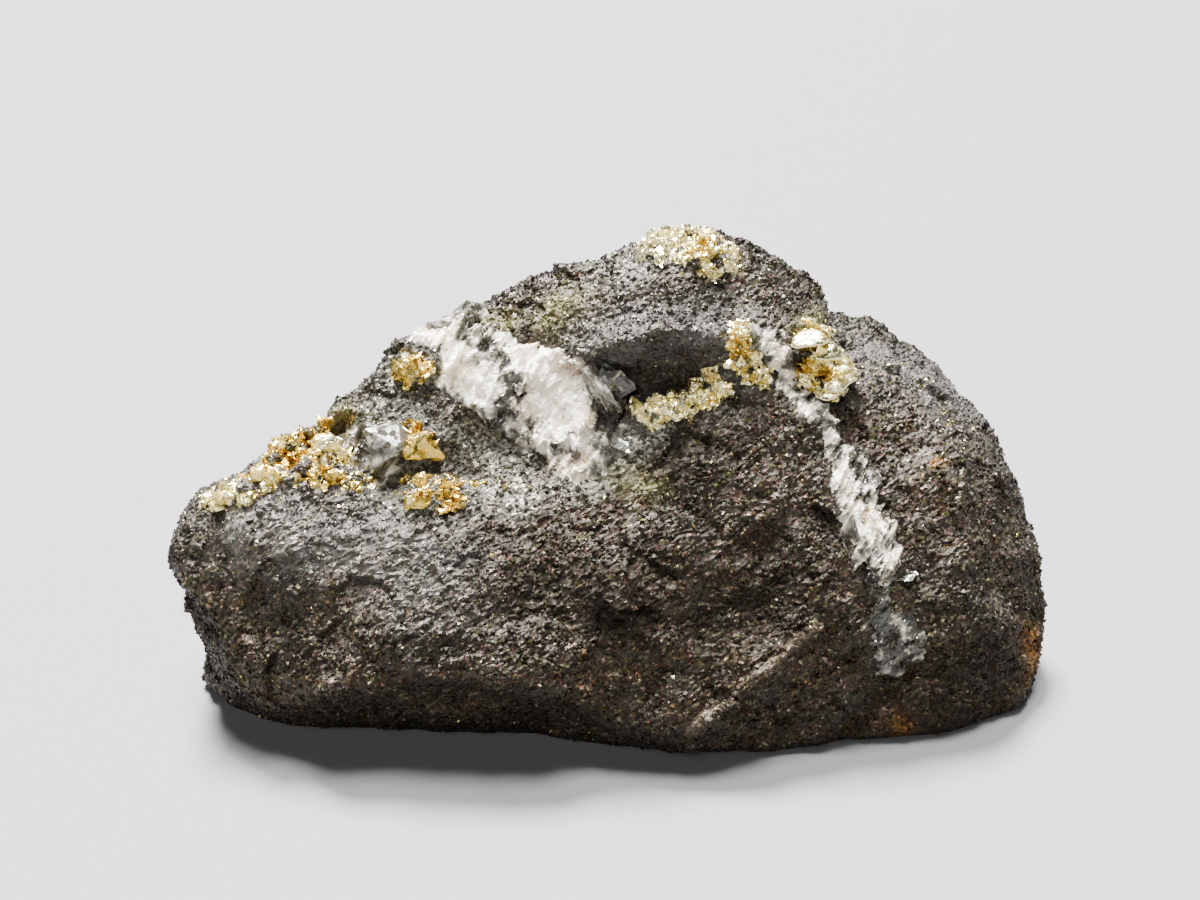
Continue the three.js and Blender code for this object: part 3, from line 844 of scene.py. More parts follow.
SHAPES = {
    "magnetite": [octahedron(), octahedron(long=1.35), octahedron(long=1.1, flat=0.65)],
    "pyrite": [
        worn_cube(), broken_bit(1), broken_bit(2), broken_bit(3), pyritohedron(), broken_bit(4),
    ],
}
print("faces:", {family: [len(s.faces) for s in shapes] for family, shapes in SHAPES.items()})

# %% [markdown]
# ## Scattering crystals with Geometry Nodes
# Tens of thousands of crystals are best placed by a rule. The tree below throws points on a
# surface no closer together than a spacing, puts a randomly chosen crystal on each with its own
# turn and size, and gives each crystal a random number for its finish. Realize Instances turns
# them into real faces. A particle system could place them too, but this tree can be read and can be
# fed: the same one serves magnetite and pyrite, with other inputs.

# %% Scatter tree
DENSEST = 1e8  # points to a square metre before the spacing thins them out
SIZE_SEED, CHANCE_SEED = 4, 9
LARGE_ONES_RARE = 2.2  # the higher, the fewer large crystals


def random_share(tree, seed):
    """A random number from 0 to 1 for each crystal."""
    inputs = {2: 0.0, 3: 1.0, "Seed": seed}
    return add_node(tree, "FunctionNodeRandomValue", inputs, data_type="FLOAT").outputs[1]


def scatter_tree():
    tree = bpy.data.node_groups.new("scatter_crystals", "GeometryNodeTree")
    for name, kind in (
        ("Geometry", "NodeSocketGeometry"), ("Crystals", "NodeSocketCollection"),
        ("Finish", "NodeSocketMaterial"), ("Spacing", "NodeSocketFloat"),
        ("Smallest", "NodeSocketFloat"), ("Largest", "NodeSocketFloat"),
        ("Seed", "NodeSocketInt"),
    ):
        tree.interface.new_socket(name, in_out="INPUT", socket_type=kind)
    tree.interface.new_socket("Geometry", in_out="OUTPUT", socket_type="NodeSocketGeometry")
    given = tree.nodes.new("NodeGroupInput").outputs
    where = add_node(tree, "GeometryNodeInputNamedAttribute", {"Name": "crystals"}, data_type="FLOAT")
    points = add_node(
        tree, "GeometryNodeDistributePointsOnFaces",
        {"Mesh": given["Geometry"], "Distance Min": given["Spacing"], "Density Max": DENSEST,
         "Density Factor": where.outputs[0], "Seed": given["Seed"]},
        distribute_method="POISSON",
    )
    kinds = add_node(
        tree, "GeometryNodeCollectionInfo",
        {"Collection": given["Crystals"], "Separate Children": True, "Reset Children": True},
    )
    turn = add_node(
        tree, "FunctionNodeRandomValue",
        {0: (0, 0, 0), 1: (math.tau, math.tau, math.tau), "Seed": given["Seed"]},
        data_type="FLOAT_VECTOR",
    )
    turned = add_node(tree, "FunctionNodeEulerToRotation", {0: turn.outputs[0]})
    draw = random_share(tree, SIZE_SEED)
    rare = add_node(tree, "ShaderNodeMath", {0: draw, 1: LARGE_ONES_RARE}, operation="POWER")
    size = add_node(
        tree, "ShaderNodeMapRange",
        {"Value": rare.outputs[0], "To Min": given["Smallest"], "To Max": given["Largest"]},
    )
    placed = add_node(
        tree, "GeometryNodeInstanceOnPoints",
        {"Points": points.outputs["Points"], "Instance": kinds.outputs[0], "Pick Instance": True,
         "Rotation": turned.outputs[0], "Scale": size.outputs[0]},
    )
    numbered = add_node(
        tree, "GeometryNodeStoreNamedAttribute",
        {"Geometry": placed.outputs[0], "Name": "chance", "Value": random_share(tree, CHANCE_SEED)},
        data_type="FLOAT", domain="INSTANCE",
    )
    real = add_node(tree, "GeometryNodeRealizeInstances", {0: numbered.outputs[0]})
    dressed = add_node(
        tree, "GeometryNodeSetMaterial", {"Geometry": real.outputs[0], "Material": given["Finish"]}
    )
    result = tree.nodes.new("NodeGroupOutput")
    tree.links.new(dressed.outputs[0], result.inputs[0])
    return tree


SCATTER = scatter_tree()
print("scatter tree:", len(SCATTER.nodes), "nodes")

# %% [markdown]
# ## Feeding the tree
# The tree picks its crystals from a collection that is never shown. A modifier's inputs are known
# by identifiers and not by their names, because two inputs may have the same name. The result is
# taken as a plain mesh, so that nothing is left that could change later.


# %% Scatter helpers
def family_of(name, shapes, material):
    """A collection of crystal objects for the tree to choose from."""
    family = bpy.data.collections.new(name)
    for number, shape in enumerate(shapes):
        family.objects.link(crystal_object(f"{name}_{number}", shape, material))
    return family


def crystals_on(mesh, name, family, material, spacing, smallest, largest, seed):
    """Scatters crystals on a mesh wherever its number called crystals is above 0."""
    thing = new_object(name, mesh)
    modifier = thing.modifiers.new("scatter", "NODES")
    modifier.node_group = SCATTER
    values = {
        "Crystals": family, "Finish": material, "Spacing": spacing * MM,
        "Smallest": smallest * MM, "Largest": largest * MM, "Seed": seed,
    }
    for socket in SCATTER.interface.items_tree:
        if socket.in_out == "INPUT" and socket.name in values:
            modifier[socket.identifier] = values[socket.name]
    return result_of(thing, name)


magnetite_family = family_of("magnetite_shapes", SHAPES["magnetite"], magnetite_crystal)

# %% [markdown]
# ## Grains on the magnetite
# The body alone is rough at the scale of a grain. The larger crystals that stand out of it and
# catch the light are scattered on top, everywhere but on the flat base and under the fillings. They
# crowd in some places and thin out in others. A plane that leans back parts them in two pieces,
# because one mesh with all of them would be too large to hand on.

# %% Magnetite grains
GRAIN_SPACING = 0.28
GRAIN_SIZES = (0.18, 0.56)
GRAINS_SEED = 3
BARE_BASE = 0.5  # no grains below this height, so that the lump rests flat
OVERLAP = {"quartz": 0.15, "pyrite": 0.1}  # how far the grains run in over each filling
CROWDING, THINNEST = 0.7, 0.12  # the usual crowd, which is also how far it swings, and the least
CLUMP_SIZE, CLUMP_STRETCH, CLUMPS_APART = 2.2, 2.2, 44
PARTING, PARTING_LEAN = 4.0, 0.35  # where the parting plane meets the base, and how far it leans

places = points_of(body)
free = places[:, 2] > BARE_BASE
for mineral, inside in filled.items():
    free &= inside < OVERLAP[mineral]
clumps = CROWDING + CROWDING * noise_at(places, CLUMP_SIZE, CLUMP_STRETCH, CLUMPS_APART)
front = places[:, 1] < PARTING - PARTING_LEAN * places[:, 2]
magnetite_grains = []
for side, here in (("front", front), ("back", ~front)):
    put_number(body, "crystals", free * here * np.clip(clumps, THINNEST, 1))
    name = f"magnetite_grains_{side}"
    grains = crystals_on(
        body.copy(), name, magnetite_family, magnetite_crystal, GRAIN_SPACING, *GRAIN_SIZES,
        GRAINS_SEED,
    )
    magnetite_grains.append(new_object(name, grains))
    print(f"{name}:", len(grains.polygons), "faces")

# %% [markdown]
# ## Cutting a filling out of the skin
# Quartz and pyrite fill places in the magnetite, so each filling starts as the part of the skin in
# its zone, with a margin that dips under the magnetite. Its form could be built on its own, but then
# it would not follow the break. Subdividing makes it fine enough for small facets. The patch is
# closed with a floor deeper in the stone, so that it is a real solid and light can travel inside it.

# %% Patch helpers
MARGIN = 0.9  # how far a filling runs on under the magnetite
FINER = 1  # level of subdivision
FLOOR_SANDING = 6
LOWEST = 1.4 * MARGIN  # how far a patch may sink outside its border


def patch_of_skin(name):
    """The part of the skin that lies in a filling's zone or its margin, made finer."""
    part = bmesh.new()
    part.from_mesh(skin)
    kept = zones[name] > -MARGIN
    outside = [face for face in part.faces if not all(kept[v.index] for v in face.verts)]
    bmesh.ops.delete(part, geom=outside, context="FACES")
    mesh = bpy.data.meshes.new(name)
    part.to_mesh(mesh)
    part.free()
    thing = new_object(name, mesh)
    finer = thing.modifiers.new("finer", "SUBSURF")
    finer.levels = finer.render_levels = FINER
    return result_of(thing, name)


def relief_of_patch(border, relief, at_border, least, rise, full):
    """A patch's relief, which dies down towards the border, on a rise that starts below it."""
    fading = relief * np.clip(at_border + border, least, 1)
    return fading + rise * np.clip(border, -LOWEST, full)


def closed_below(mesh, depth):
    """Gives an open patch a floor and walls, so that it is a closed solid."""
    floor = relaxed(points_of(mesh), edges_of(mesh), FLOOR_SANDING)
    floor -= normals_of(mesh) * depth[:, None]
    solid = bmesh.new()
    solid.from_mesh(mesh)
    solid.verts.ensure_lookup_table()
    rim = [edge for edge in solid.edges if edge.is_boundary]
    below = [solid.verts.new(point) for point in floor * MM]
    for face in list(solid.faces):
        solid.faces.new([below[v.index] for v in reversed(face.verts)])
    for edge in rim:
        corner = edge.link_loops[0]
        first, second = corner.vert, corner.link_loop_next.vert
        solid.faces.new([second, first, below[first.index], below[second.index]])
    solid.to_mesh(mesh)
    solid.free()
    mesh.update()


# %% [markdown]
# ## Quartz
# Quartz has no flat direction to split along, so a vein breaks into glassy chips. They are longer
# one way, because its crystals grew side by side. Its middle is milky with tiny bubbles, and its
# edges are clearer and show the dark rock behind them, so the milk is stored at the points too.

# %% Where the milk is
MILKY = {
    # for each vein: paths of milky quartz, how far the milk reaches and how white it is
    "quartz_saddle": [([(-7, -1.6, 26), (-4.6, -3.6, 23.6), (-3.4, -5.6, 21.4)], 3.0, 1.25),
                      ([(-16, 0.4, 26), (-13, -0.6, 25.8), (-11, -2, 24.4)], 2.6, 1.15)],
    "quartz_vein_right": [([(17.2, -7.4, 19), (18.4, -9, 17.4), (20, -11.4, 14.6)], 1.7, 0.8),
                          ([(11.6, -2.4, 27.9), (13.4, -3.6, 25), (15.5, -5.4, 22)], 1.5, 0.5)],
    "quartz_patch_left": [([(-18.4, -6.6, 19.6), (-18.2, -7, 19.2)], 0.8, 0.8)],
}
SMOKY = [  # grey, clearer places in the milk: the path and how far it reaches
    ([(-10.2, -0.1, 26.6), (-8.6, -1.6, 25.6), (-8, -2.5, 24.4), (-8.7, -3.2, 23.5)], 0.8),
    ([(-12.2, 0.6, 27), (-11, -1.2, 25.6)], 0.5),
    ([(-1.4, -3.8, 24.2), (-0.9, -4.7, 23), (-1.5, -6, 21.5)], 0.9),
    ([(-5, -6, 20.6), (-3.4, -6.4, 20.6)], 0.7),
    ([(18.6, -8, 18), (19.2, -9.4, 16.8)], 0.5),
]
SMOKE_CLEARS = 0.85  # share of the milk that is gone in the middle of a clear place


def milk_at(points, node):
    milk = np.max([white * near_path(points, path, far) for path, far, white in MILKY[node]], axis=0)
    for path, reach in SMOKY:
        milk *= 1 - SMOKE_CLEARS * near_path(points, path, reach)
    return milk


# %% Quartz pieces
QUARTZ_CHIPS = [(1.6, 0.2, 21), (0.85, 0.26, 22), (0.4, 0.2, 23)]  # facet size, slope, seed
QUARTZ_GROWN = (-0.42, -0.7, -0.45)  # the way its crystals point, nearly a unit long
QUARTZ_EDGE = {  # how much relief is left at the border and beyond it, and how the filling rises
    "at_border": 0.5, "least": 0.2, "rise": 0.35, "full": 0.8,
}
QUARTZ_BELOW_PYRITE = 0.6
QUARTZ_THIN, QUARTZ_DEEPER = 0.7, 1.6  # depth of the floor at the rim, and how much more it may be


def quartz_piece(node):
    mesh = patch_of_skin(node)
    points, border = points_of(mesh), number_on(mesh, node)
    area = area_of(mesh)
    chips = sum(
        facets_at(points, area, size, slope, seed, QUARTZ_GROWN) for size, slope, seed in QUARTZ_CHIPS
    )
    under_pyrite = np.max([number_on(mesh, other) for other in PYRITE], axis=0)
    height = relief_of_patch(border, chips, **QUARTZ_EDGE)
    raised(mesh, height - QUARTZ_BELOW_PYRITE * np.clip(under_pyrite, 0, 1))
    weather_and_painted_shading(mesh)
    put_number(mesh, "milk", milk_at(points, node))
    closed_below(mesh, QUARTZ_THIN + np.clip(border + MARGIN, 0, QUARTZ_DEEPER))
    return mesh


quartz_meshes = {node: quartz_piece(node) for node in QUARTZ}
print("quartz:", {node: len(mesh.polygons) for node, mesh in quartz_meshes.items()})

# %% [markdown]
# ## The finish of quartz
# Light goes into quartz, scatters from bubbles and cracks, and comes out a little further on. A
# share of subsurface scattering gives that glow, and a share of plain transmission lets the dark
# rock show through the clearer edges. A ramp with mixed-in noise turns the stored milk into both,
# and fine flakes turn single bright faces to the light.

# %% Quartz finish
QUARTZ_LOOKS = {
    "IOR": 1.544, "Subsurface Weight": 0.3,
    "Subsurface Radius": (1.0, 0.92, 0.8), "Subsurface Scale": 0.9 * MM,
}
CLOUDY_TO_WHITE = [
    (0.0, (0.15, 0.145, 0.115)), (0.3, (0.41, 0.385, 0.315)), (0.6, (0.83, 0.78, 0.67)),
    (1.0, (0.99, 0.935, 0.8)),
]
CLEAR_TO_MILKY = [(0.1, 0.75), (0.6, 0.0)]  # share of light that goes through, for the milk's stops
VEILS_PER_MM, VEIL, VEIL_ENDS = 0.9, 0.42, (0.35, 0.65)  # and how much milk a veil adds or takes
CREAM_PER_MM, CREAM = 0.5, (1.0, 0.9, 0.8)
CREAM_PATCHES = [(0.45, 0.0), (0.65, 0.7)]
QUARTZ_SKINS = [("olive", (0.25, 0.25, 0.14), 0.5), ("rust", (0.34, 0.2, 0.12), 0.6)]
FLAKE, FLAKE_LEAN = 0.5, 0.5  # size of the glinting flakes, and how far they may lean
FLAKE_TONES = (-0.24, 0.2)
FLAKE_GLOSS = [(0, 0.42), (0.5, 0.25), (1, 0.1)]
NICKS_PER_MM, NICK_STRENGTH, NICK_DEPTH = 5.0, 0.25, 0.12


def quartz_finish():
    material, tree, shader = new_finish("quartz", QUARTZ_LOOKS)
    place = millimetres(tree)
    veil = spread(tree, clouds(tree, place, VEILS_PER_MM, 4.0), -VEIL, VEIL, VEIL_ENDS)
    milk = plus(tree, stored(tree, "milk"), veil)
    flakes = small_cells(tree, place, FLAKE)
    chance = number_from_cell(tree, flakes)
    white = plus(tree, milk, spread(tree, chance, *FLAKE_TONES))
    colour = ramp(tree, white, CLOUDY_TO_WHITE)
    creamy = ramp(tree, clouds(tree, place, CREAM_PER_MM, 2.0), CREAM_PATCHES, smooth=True)
    colour = tinted(tree, creamy, colour, CREAM)
    for stain, skin_colour, cover in QUARTZ_SKINS:
        colour = colour_mix(tree, times(tree, stored(tree, stain), cover), colour, skin_colour)
    for socket, value in (
        ("Base Color", colour),
        ("Transmission Weight", ramp(tree, milk, CLEAR_TO_MILKY)),
        ("Roughness", ramp(tree, chance, FLAKE_GLOSS)),
    ):
        tree.links.new(value, shader.inputs[socket])
    nicks = clouds(tree, place, NICKS_PER_MM, 3.0)
    facing = turned_faces(tree, flakes, FLAKE_LEAN)
    put_bumps(tree, shader, nicks, NICK_STRENGTH, NICK_DEPTH, facing)
    return material


quartz = quartz_finish()
quartz_pieces = []
for node, mesh in quartz_meshes.items():
    mesh.materials.clear()
    mesh.materials.append(quartz)
    quartz_pieces.append(new_object(f"{node}_broken", mesh))
print("quartz finish:", len(quartz.node_tree.nodes), "nodes")

# %% [markdown]
# ## Pyrite
# Pyrite here is a crust of crystals that crowd each other, brassy and bright as foil. Tarnish makes
# it deeper by place: the summit is pale, and the clusters beside the quartz are a deep gold. The same
# depth also carries painted shade: deeper gold in the pits, on the bed between the crystals and in
# the gap under the right nugget's plates. That depth is stored on each piece, and a soft noise and
# each crystal's own chance shift it a little.

# %% Where the pyrite is tarnished, and where shade is painted on it
TARNISH = {
    # deeper and paler brass by place: how far from pale (0) to deep gold (1)
    "pyrite_summit": -0.08, "pyrite_left_band": 0.34, "pyrite_nugget_left": 0.72,
    "pyrite_low_saddle": 0.62, "pyrite_quartz_corner": 0.5, "pyrite_centre_band": 0.08,
    "pyrite_nugget_right": 0.12,
}
TARNISH_AND_SHADE_SPOTS = [  # where it is deeper or paler still: the place, how far, how much
    ((-30, -9, 18.7), 3.2, -0.3), ((-25.4, -6.6, 20.4), 1.8, 0.45), ((-22.8, -5.6, 20.6), 1.2, -0.3),
    ((-21.8, -8.8, 19.9), 0.9, 0.5), ((6.4, 3.2, 33.2), 1.4, 0.6), ((3.2, 3.4, 33.2), 1.8, -0.3),
    ((-16.3, -7, 20.8), 0.9, 0.4), ((9, -3, 28.2), 1.2, 0.6), ((13.8, -1.9, 25.8), 1.0, 0.7),
    # the spot below is painted shade: deeper gold in the gap under the right nugget's plates
    ((16, -2.2, 25.3), 0.8, 0.7),
]
PIT_PAINTED_SHADE = 0.6  # painted shade in the pits: this much deeper gold for each millimetre that a pit is deep


def tarnish_and_shade_at(points, node):
    # pits get painted shade: their gold is deeper the deeper they are
    depth = TARNISH[node] + PIT_PAINTED_SHADE * pits_at(points)
    for place, reach, change in TARNISH_AND_SHADE_SPOTS:
        depth += change * near_place(points, place, reach)
    return depth


print("deepest gold:", max(TARNISH, key=TARNISH.get), "palest:", min(TARNISH, key=TARNISH.get))

# %% Pyrite finish
PYRITE_LOOKS = {"Metallic": 1.0}
GOLDS = [
    (0.0, (0.96, 0.89, 0.54)), (0.35, (0.88, 0.71, 0.24)), (0.7, (0.69, 0.46, 0.065)),
    (1.0, (0.22, 0.1, 0.012)),
]
DRIFTS_PER_MM, DRIFT, DRIFT_ENDS = 1.1, 0.3, (0.3, 0.7)  # and how far a soft patch shifts the gold
CHANCE_SHIFT = 0.2
ETCHING_PER_MM, ETCHING_STRENGTH, ETCHING_DEPTH = 5.0, 0.5, 0.1
ETCHED_GLOSS = [(0.35, 0.18), (0.7, 0.44)]


def pyrite_finish():
    material, tree, shader = new_finish("pyrite", PYRITE_LOOKS)
    place = millimetres(tree)
    drift = spread(tree, clouds(tree, place, DRIFTS_PER_MM, 3.0), -DRIFT, DRIFT, DRIFT_ENDS)
    chance = spread(tree, stored(tree, "chance"), -CHANCE_SHIFT, CHANCE_SHIFT)
    depth = plus(tree, plus(tree, drift, chance), stored(tree, "tarnish"))
    etching = clouds(tree, place, ETCHING_PER_MM, 3.0)
    tree.links.new(ramp(tree, depth, GOLDS), shader.inputs["Base Color"])
    tree.links.new(ramp(tree, etching, ETCHED_GLOSS), shader.inputs["Roughness"])
    put_bumps(tree, shader, etching, ETCHING_STRENGTH, ETCHING_DEPTH)
    return material


pyrite = pyrite_finish()
print("pyrite finish:", len(pyrite.node_tree.nodes), "nodes")

# %% [markdown]
# ## The beds of pyrite
# Under the crystals, each patch has a faceted bed that keeps to the CAD solid's own form. Crystals
# without one would look like gold sand strewn on the rock. The bed stores where crystals may stand
# on it: not in its pits, and only a few on the nuggets, whose large growths come next.

# %% Pyrite beds
PYRITE_CHIPS = [(1.2, 0.4, 31), (0.5, 0.4, 32)]  # facet size, slope, seed
PYRITE_EDGE = {"at_border": 0.6, "least": 0.25, "rise": 0.1, "full": 0.7}
SUNK = {  # how far a bed lies below its solid
    "pyrite_nugget_right": 0.4, "pyrite_nugget_left": 0.3,
}
BED_PITS = 1.4  # a pit is this much deeper in the bed than in the rock
PIT_FREE = 0.3  # crystals stand only where a pit is less deep
BARE_RIM = -0.05
CROWDED = {  # share of a full crowd
    "pyrite_nugget_right": 0.3, "pyrite_nugget_left": 0.1, "pyrite_summit": 0.8,
    "pyrite_left_band": 0.8,
}


def pyrite_bed(node):
    mesh = patch_of_skin(node)
    points, border, area = points_of(mesh), number_on(mesh, node), area_of(mesh)
    pits = pits_at(points)
    chips = sum(facets_at(points, area, size, slope, seed) for size, slope, seed in PYRITE_CHIPS)
    height = relief_of_patch(border, chips, **PYRITE_EDGE)
    raised(mesh, height - SUNK.get(node, 0) - BED_PITS * pits)
    put_number(mesh, "crystals", (border > BARE_RIM) * (pits < PIT_FREE) * CROWDED.get(node, 1))
    return mesh


pyrite_beds = {node: pyrite_bed(node) for node in PYRITE}
print("pyrite beds:", {node: len(mesh.polygons) for node, mesh in pyrite_beds.items()})

# %% [markdown]
# ## Plates and nuggets
# The right nugget is built of thin plates that bend like the rim of a spoon, one over the other
# with dark gaps between. A flattened sphere makes such a plate: it is closed and already has a
# round edge. The left nugget, and two lumps of the left band, have no plates or crystal faces.
# Each is a large chip, made finer and then crumpled, so that every side has faces that catch light.

# %% Placing a growth
def placed(solid, centre, angles):
    """Turns a shape in degrees, moves it to its centre, and gives its mesh in metres."""
    turn = Euler([math.radians(angle) for angle in angles]).to_matrix().to_4x4()
    bmesh.ops.transform(solid, matrix=Matrix.Translation(centre) @ turn, verts=solid.verts)
    bmesh.ops.scale(solid, vec=(MM, MM, MM), verts=solid.verts)
    mesh = bpy.data.meshes.new("growth")
    solid.to_mesh(mesh)
    solid.free()
    return mesh


# %% Bent plates
PLATES = [
    # centre, length, width and bend in millimetres, then turns about x, y and z in degrees
    ((14.8, -1.9, 28.2), 3.2, 1.8, 0.3, (14, -6, 8)),
    ((15.7, -1.7, 27.1), 3.6, 1.8, 0.5, (32, 4, -8)),
    ((15.6, -1.9, 26), 3.0, 2.0, 0.9, (62, -8, 12)),
    ((16.9, -2.2, 24.7), 3.9, 2.2, -0.8, (34, -14, -14)),
    ((16.1, -2.9, 23.7), 2.2, 1.2, -0.5, (24, 6, 4)),
]
PLATE_SEGMENTS, PLATE_RINGS = 36, 18
PLATE_THICK, PLATE_SQUARE = 0.42, 6  # the higher the power, the flatter the plate up to its rim
RIM_RAGGED, RIM_BAYS = 0.18, 2.2  # how deep the rim's bays are, and how many to half a plate
DENT, DENTS = 0.1, 3


def curved_plate(centre, length, width, bend, angles):
    solid = bmesh.new()
    bmesh.ops.create_uvsphere(solid, u_segments=PLATE_SEGMENTS, v_segments=PLATE_RINGS, radius=1)
    for vert in solid.verts:
        x, y, z = vert.co
        rim = 1 + RIM_RAGGED * noise.noise((RIM_BAYS * x, RIM_BAYS * y, centre[2]))
        flat = math.sqrt(max(0, 1 - math.hypot(x, y) ** PLATE_SQUARE))
        level = math.copysign(flat * PLATE_THICK / 2, z)
        dent = DENT * noise.noise((DENTS * x, DENTS * y, centre[0]))
        vert.co = (x * rim * length / 2, y * rim * width / 2, level + dent - bend * x * x)
    return placed(solid, centre, angles)


# %% Nuggets
NUGGETS = {  # centre, size and seed
    "pyrite_nugget_left": [((-15.3, -6.5, 21.3), (3.0, 2.6, 3.9), 5)],
    "pyrite_left_band": [
        ((-22.8, -5.4, 20.9), (2.0, 1.5, 2.2), 8), ((-21.8, -8.6, 20), (1.2, 1.0, 1.5), 9),
    ],
}
NUGGET_CORNERS, NUGGET_CUTS = 26, 3
CRUMPLE, CRUMPLES = 0.12, 5  # how far a nugget's sides are pushed about, and how many times across


def nugget(centre, size, seed):
    """A chip whose flat sides are crumpled."""
    solid = broken_bit(seed, NUGGET_CORNERS)
    bmesh.ops.subdivide_edges(solid, edges=solid.edges, cuts=NUGGET_CUTS, use_grid_fill=True)
    noise.seed_set(seed)  # otherwise the clock would seed the noise, and each run would differ
    for vert in solid.verts:
        vert.co += CRUMPLE * noise.noise_vector(vert.co * CRUMPLES + Vector(centre))
    bmesh.ops.scale(solid, vec=size, verts=solid.verts)
    return placed(solid, centre, (0, 0, 0))


def large_growths(node):
    if node == "pyrite_nugget_right":
        return [curved_plate(*plate) for plate in PLATES]
    return [nugget(*found) for found in NUGGETS.get(node, [])]


growths = {node: large_growths(node) for node in PYRITE}
print("large growths:", {node: len(meshes) for node, meshes in growths.items() if meshes})

# %% [markdown]
# ## Putting the pyrite together
# A crowd of larger crystals and a crowd of smaller ones stand on each bed, as in a crust that never
# stopped seeding new crystals. Bed, crystals and large growths then become one mesh, because they are
# one cluster on the real stone. The bed shows between the crystals, and its gold is painted deeper
# there as shade between them.

# %% Pyrite clusters
CROWDS = [(0.5, 0.3, 0.75), (0.27, 0.16, 0.38)]  # spacing, smallest, largest
CROWDS_SEED, SEED_STEP = 40, 7
BED_FLOOR = 0.8  # how deep the bed's floor lies
BED_PAINTED_SHADE = 0.3  # how much deeper its gold is painted, as shade between the crystals


def joined(meshes, name):
    whole = bmesh.new()
    for mesh in meshes:
        whole.from_mesh(mesh)
    mesh = bpy.data.meshes.new(name)
    whole.to_mesh(mesh)
    whole.free()
    return mesh


def pyrite_cluster(node, seed):
    bed = pyrite_beds[node]
    crowds = [
        crystals_on(bed.copy(), node, pyrite_family, pyrite, *crowd, seed + layer)
        for layer, crowd in enumerate(CROWDS)
    ]
    closed_below(bed, np.full(len(bed.vertices), BED_FLOOR))
    mesh = joined([bed, *crowds, *growths[node]], f"{node}_crystals")
    tarnish = tarnish_and_shade_at(points_of(mesh), node)
    # painted shade on the bed, between the crystals
    tarnish[:len(bed.vertices)] += BED_PAINTED_SHADE
    put_number(mesh, "tarnish", tarnish)
    mesh.materials.clear()
    mesh.materials.append(pyrite)
    return new_object(mesh.name, mesh)


pyrite_family = family_of("pyrite_shapes", SHAPES["pyrite"], pyrite)
pyrite_pieces = [
    pyrite_cluster(node, CROWDS_SEED + SEED_STEP * number) for number, node in enumerate(PYRITE)
]
print("pyrite:", {piece.name: len(piece.data.polygons) for piece in pyrite_pieces})

# %% [markdown]
# ## Crystal dust
# Away from the clusters, pyrite is only a dust: on the right shoulder, round the left band and under
# the saddle. The same scatter tree makes it, with smaller crystals, wherever the stain called dust
# is strong. A few crystals have strayed over the rest of the stone.

# %% Pyrite dust
DUST_SPACING = 0.3
DUST_SIZES = (0.1, 0.34)
DUST_SEED = 90
DUST_GAIN, DUST_FROM = 1.5, 0.45  # the stain's weaker rim is free of dust
DUST_CROWDED = 0.5
STRAY_DUST = 0.006
DUST_TARNISH = 0.3

dusty = np.clip(number_on(body, "dust") * DUST_GAIN - DUST_FROM, STRAY_DUST, 1)
put_number(body, "crystals", dusty * free * DUST_CROWDED)
dust = crystals_on(
    body.copy(), "pyrite_dust", pyrite_family, pyrite, DUST_SPACING, *DUST_SIZES, DUST_SEED
)
put_number(dust, "tarnish", np.full(len(dust.vertices), DUST_TARNISH))
pyrite_dust = new_object("pyrite_dust", dust)
print("pyrite dust:", len(dust.polygons), "faces")

# %% [markdown]
# ## The floor
# The floor is plain, so that nothing draws the eye from the stone. It is far wider than it needs to
# be, so that its edge is a horizon from every side. It belongs to the picture and not to the stone.

# %% Floor
FLOOR_HALF = 30  # metres
FLOOR_LOOKS = {"Base Color": (0.17, 0.17, 0.17, 1), "Roughness": 0.75}

floor_mesh = bpy.data.meshes.new("floor")
floor_corners = [(-1, -1, 0), (1, -1, 0), (1, 1, 0), (-1, 1, 0)]
floor_mesh.from_pydata([Vector(c) * FLOOR_HALF for c in floor_corners], [], [(0, 1, 2, 3)])
floor_mesh.materials.append(new_finish("floor", FLOOR_LOOKS)[0])
floor = new_object("floor", floor_mesh)
print("floor:", 2 * FLOOR_HALF, "m wide")

# %% [markdown]
# ## The lights
# The main light stands behind the stone and high up, so that it grazes the front: every grain then
# has a bright side and a shadow, which is what makes the sugary break readable. A second one from
# above fills the ledges, and a weak one in front keeps the shadows from going black. Sun lamps light
# the floor evenly as far as it is seen, and a wide angle softens their shadows like a large window.

# %% Lights
LIGHTS = {
    # the way towards each light, how wide it looks in degrees, and its strength in watts to a
    # square metre
    "key": ((-0.15, 0.47, 0.87), 17, 34.0),
    "high": ((0.05, 0.15, 0.99), 17, 9.0),
    "front_fill": ((-0.3, -0.66, 0.68), 28, 1.2),
}

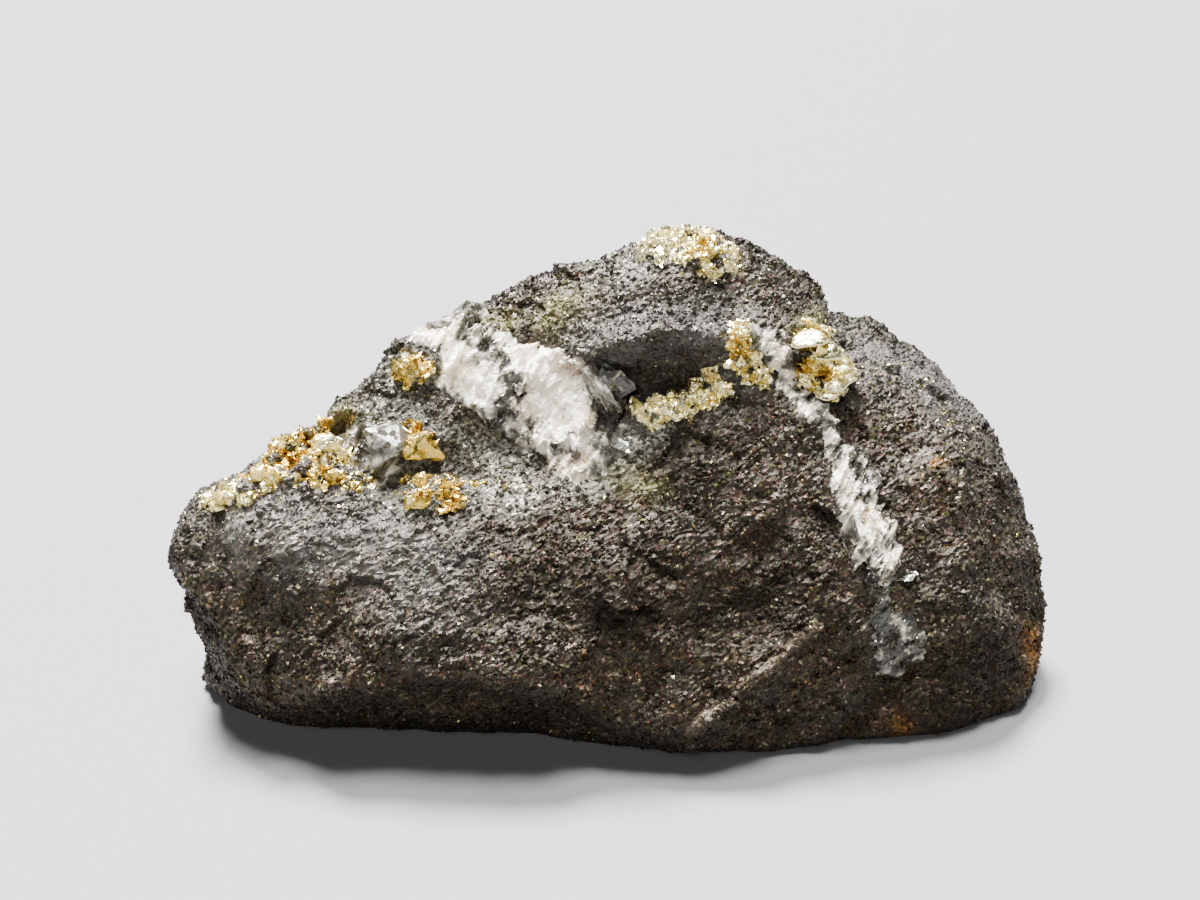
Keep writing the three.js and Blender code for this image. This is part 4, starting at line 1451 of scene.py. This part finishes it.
for name, (toward, width, strength) in LIGHTS.items():
    light = bpy.data.lights.new(name, "SUN")
    light.angle = math.radians(width)
    light.energy = strength
    lamp = bpy.data.objects.new(name, light)
    lamp.rotation_euler = (-Vector(toward)).to_track_quat("-Z", "Y").to_euler()
    bpy.context.scene.collection.objects.link(lamp)
print("lights:", ", ".join(LIGHTS))

# %% [markdown]
# ## The room
# What is around the stone lights it too, and shows in every glossy face. A dim room keeps the dark
# grains dark. Where the floor ends, though, the camera should see a pale wall, so the world gives
# one strength to the camera and another to everything else.

# %% Room
ROOM = (0.95, 0.97, 1.0, 1)
ROOM_STRENGTH = 0.025
BACKDROP = (2.1, 2.1, 2.1, 1)  # what is seen above the far edge of the floor

room = bpy.data.worlds.new("room")
room.use_nodes = True
sky = room.node_tree
sky.nodes.clear()
dim = add_node(sky, "ShaderNodeBackground", {"Color": ROOM, "Strength": ROOM_STRENGTH})
pale = add_node(sky, "ShaderNodeBackground", {"Color": BACKDROP})
seen = add_node(sky, "ShaderNodeLightPath").outputs["Is Camera Ray"]
both = add_node(sky, "ShaderNodeMixShader", {0: seen, 1: dim.outputs[0], 2: pale.outputs[0]})
add_node(sky, "ShaderNodeOutputWorld", {"Surface": both.outputs[0]})
bpy.context.scene.world = room
print("room:", len(sky.nodes), "nodes")

# %% [markdown]
# ## Tying the pieces to the frame
# Every piece rides on the one body of this stone, and the CAD solid that it was made from is hidden.
# The loose grains and the dust stand for no solid, because they are too fine for one: they only add
# to the surface of the rock.

# %% Riding and replacing
for piece in (magnetite_body, *magnetite_grains):
    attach(piece, "root")
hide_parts("magnetite_rock")
for node, piece in (*zip(QUARTZ, quartz_pieces), *zip(PYRITE, pyrite_pieces)):
    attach(piece, "root")
    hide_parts(node)
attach(pyrite_dust, "root")
pieces = (magnetite_body, *magnetite_grains, *quartz_pieces, *pyrite_pieces, pyrite_dust)
print("pieces:", len(pieces))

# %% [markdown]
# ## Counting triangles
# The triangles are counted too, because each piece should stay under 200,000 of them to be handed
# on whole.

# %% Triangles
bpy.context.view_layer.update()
triangles = {
    piece.name: sum(len(face.vertices) - 2 for face in piece.data.polygons) for piece in pieces
}
print("triangles:", triangles, "in all", sum(triangles.values()))
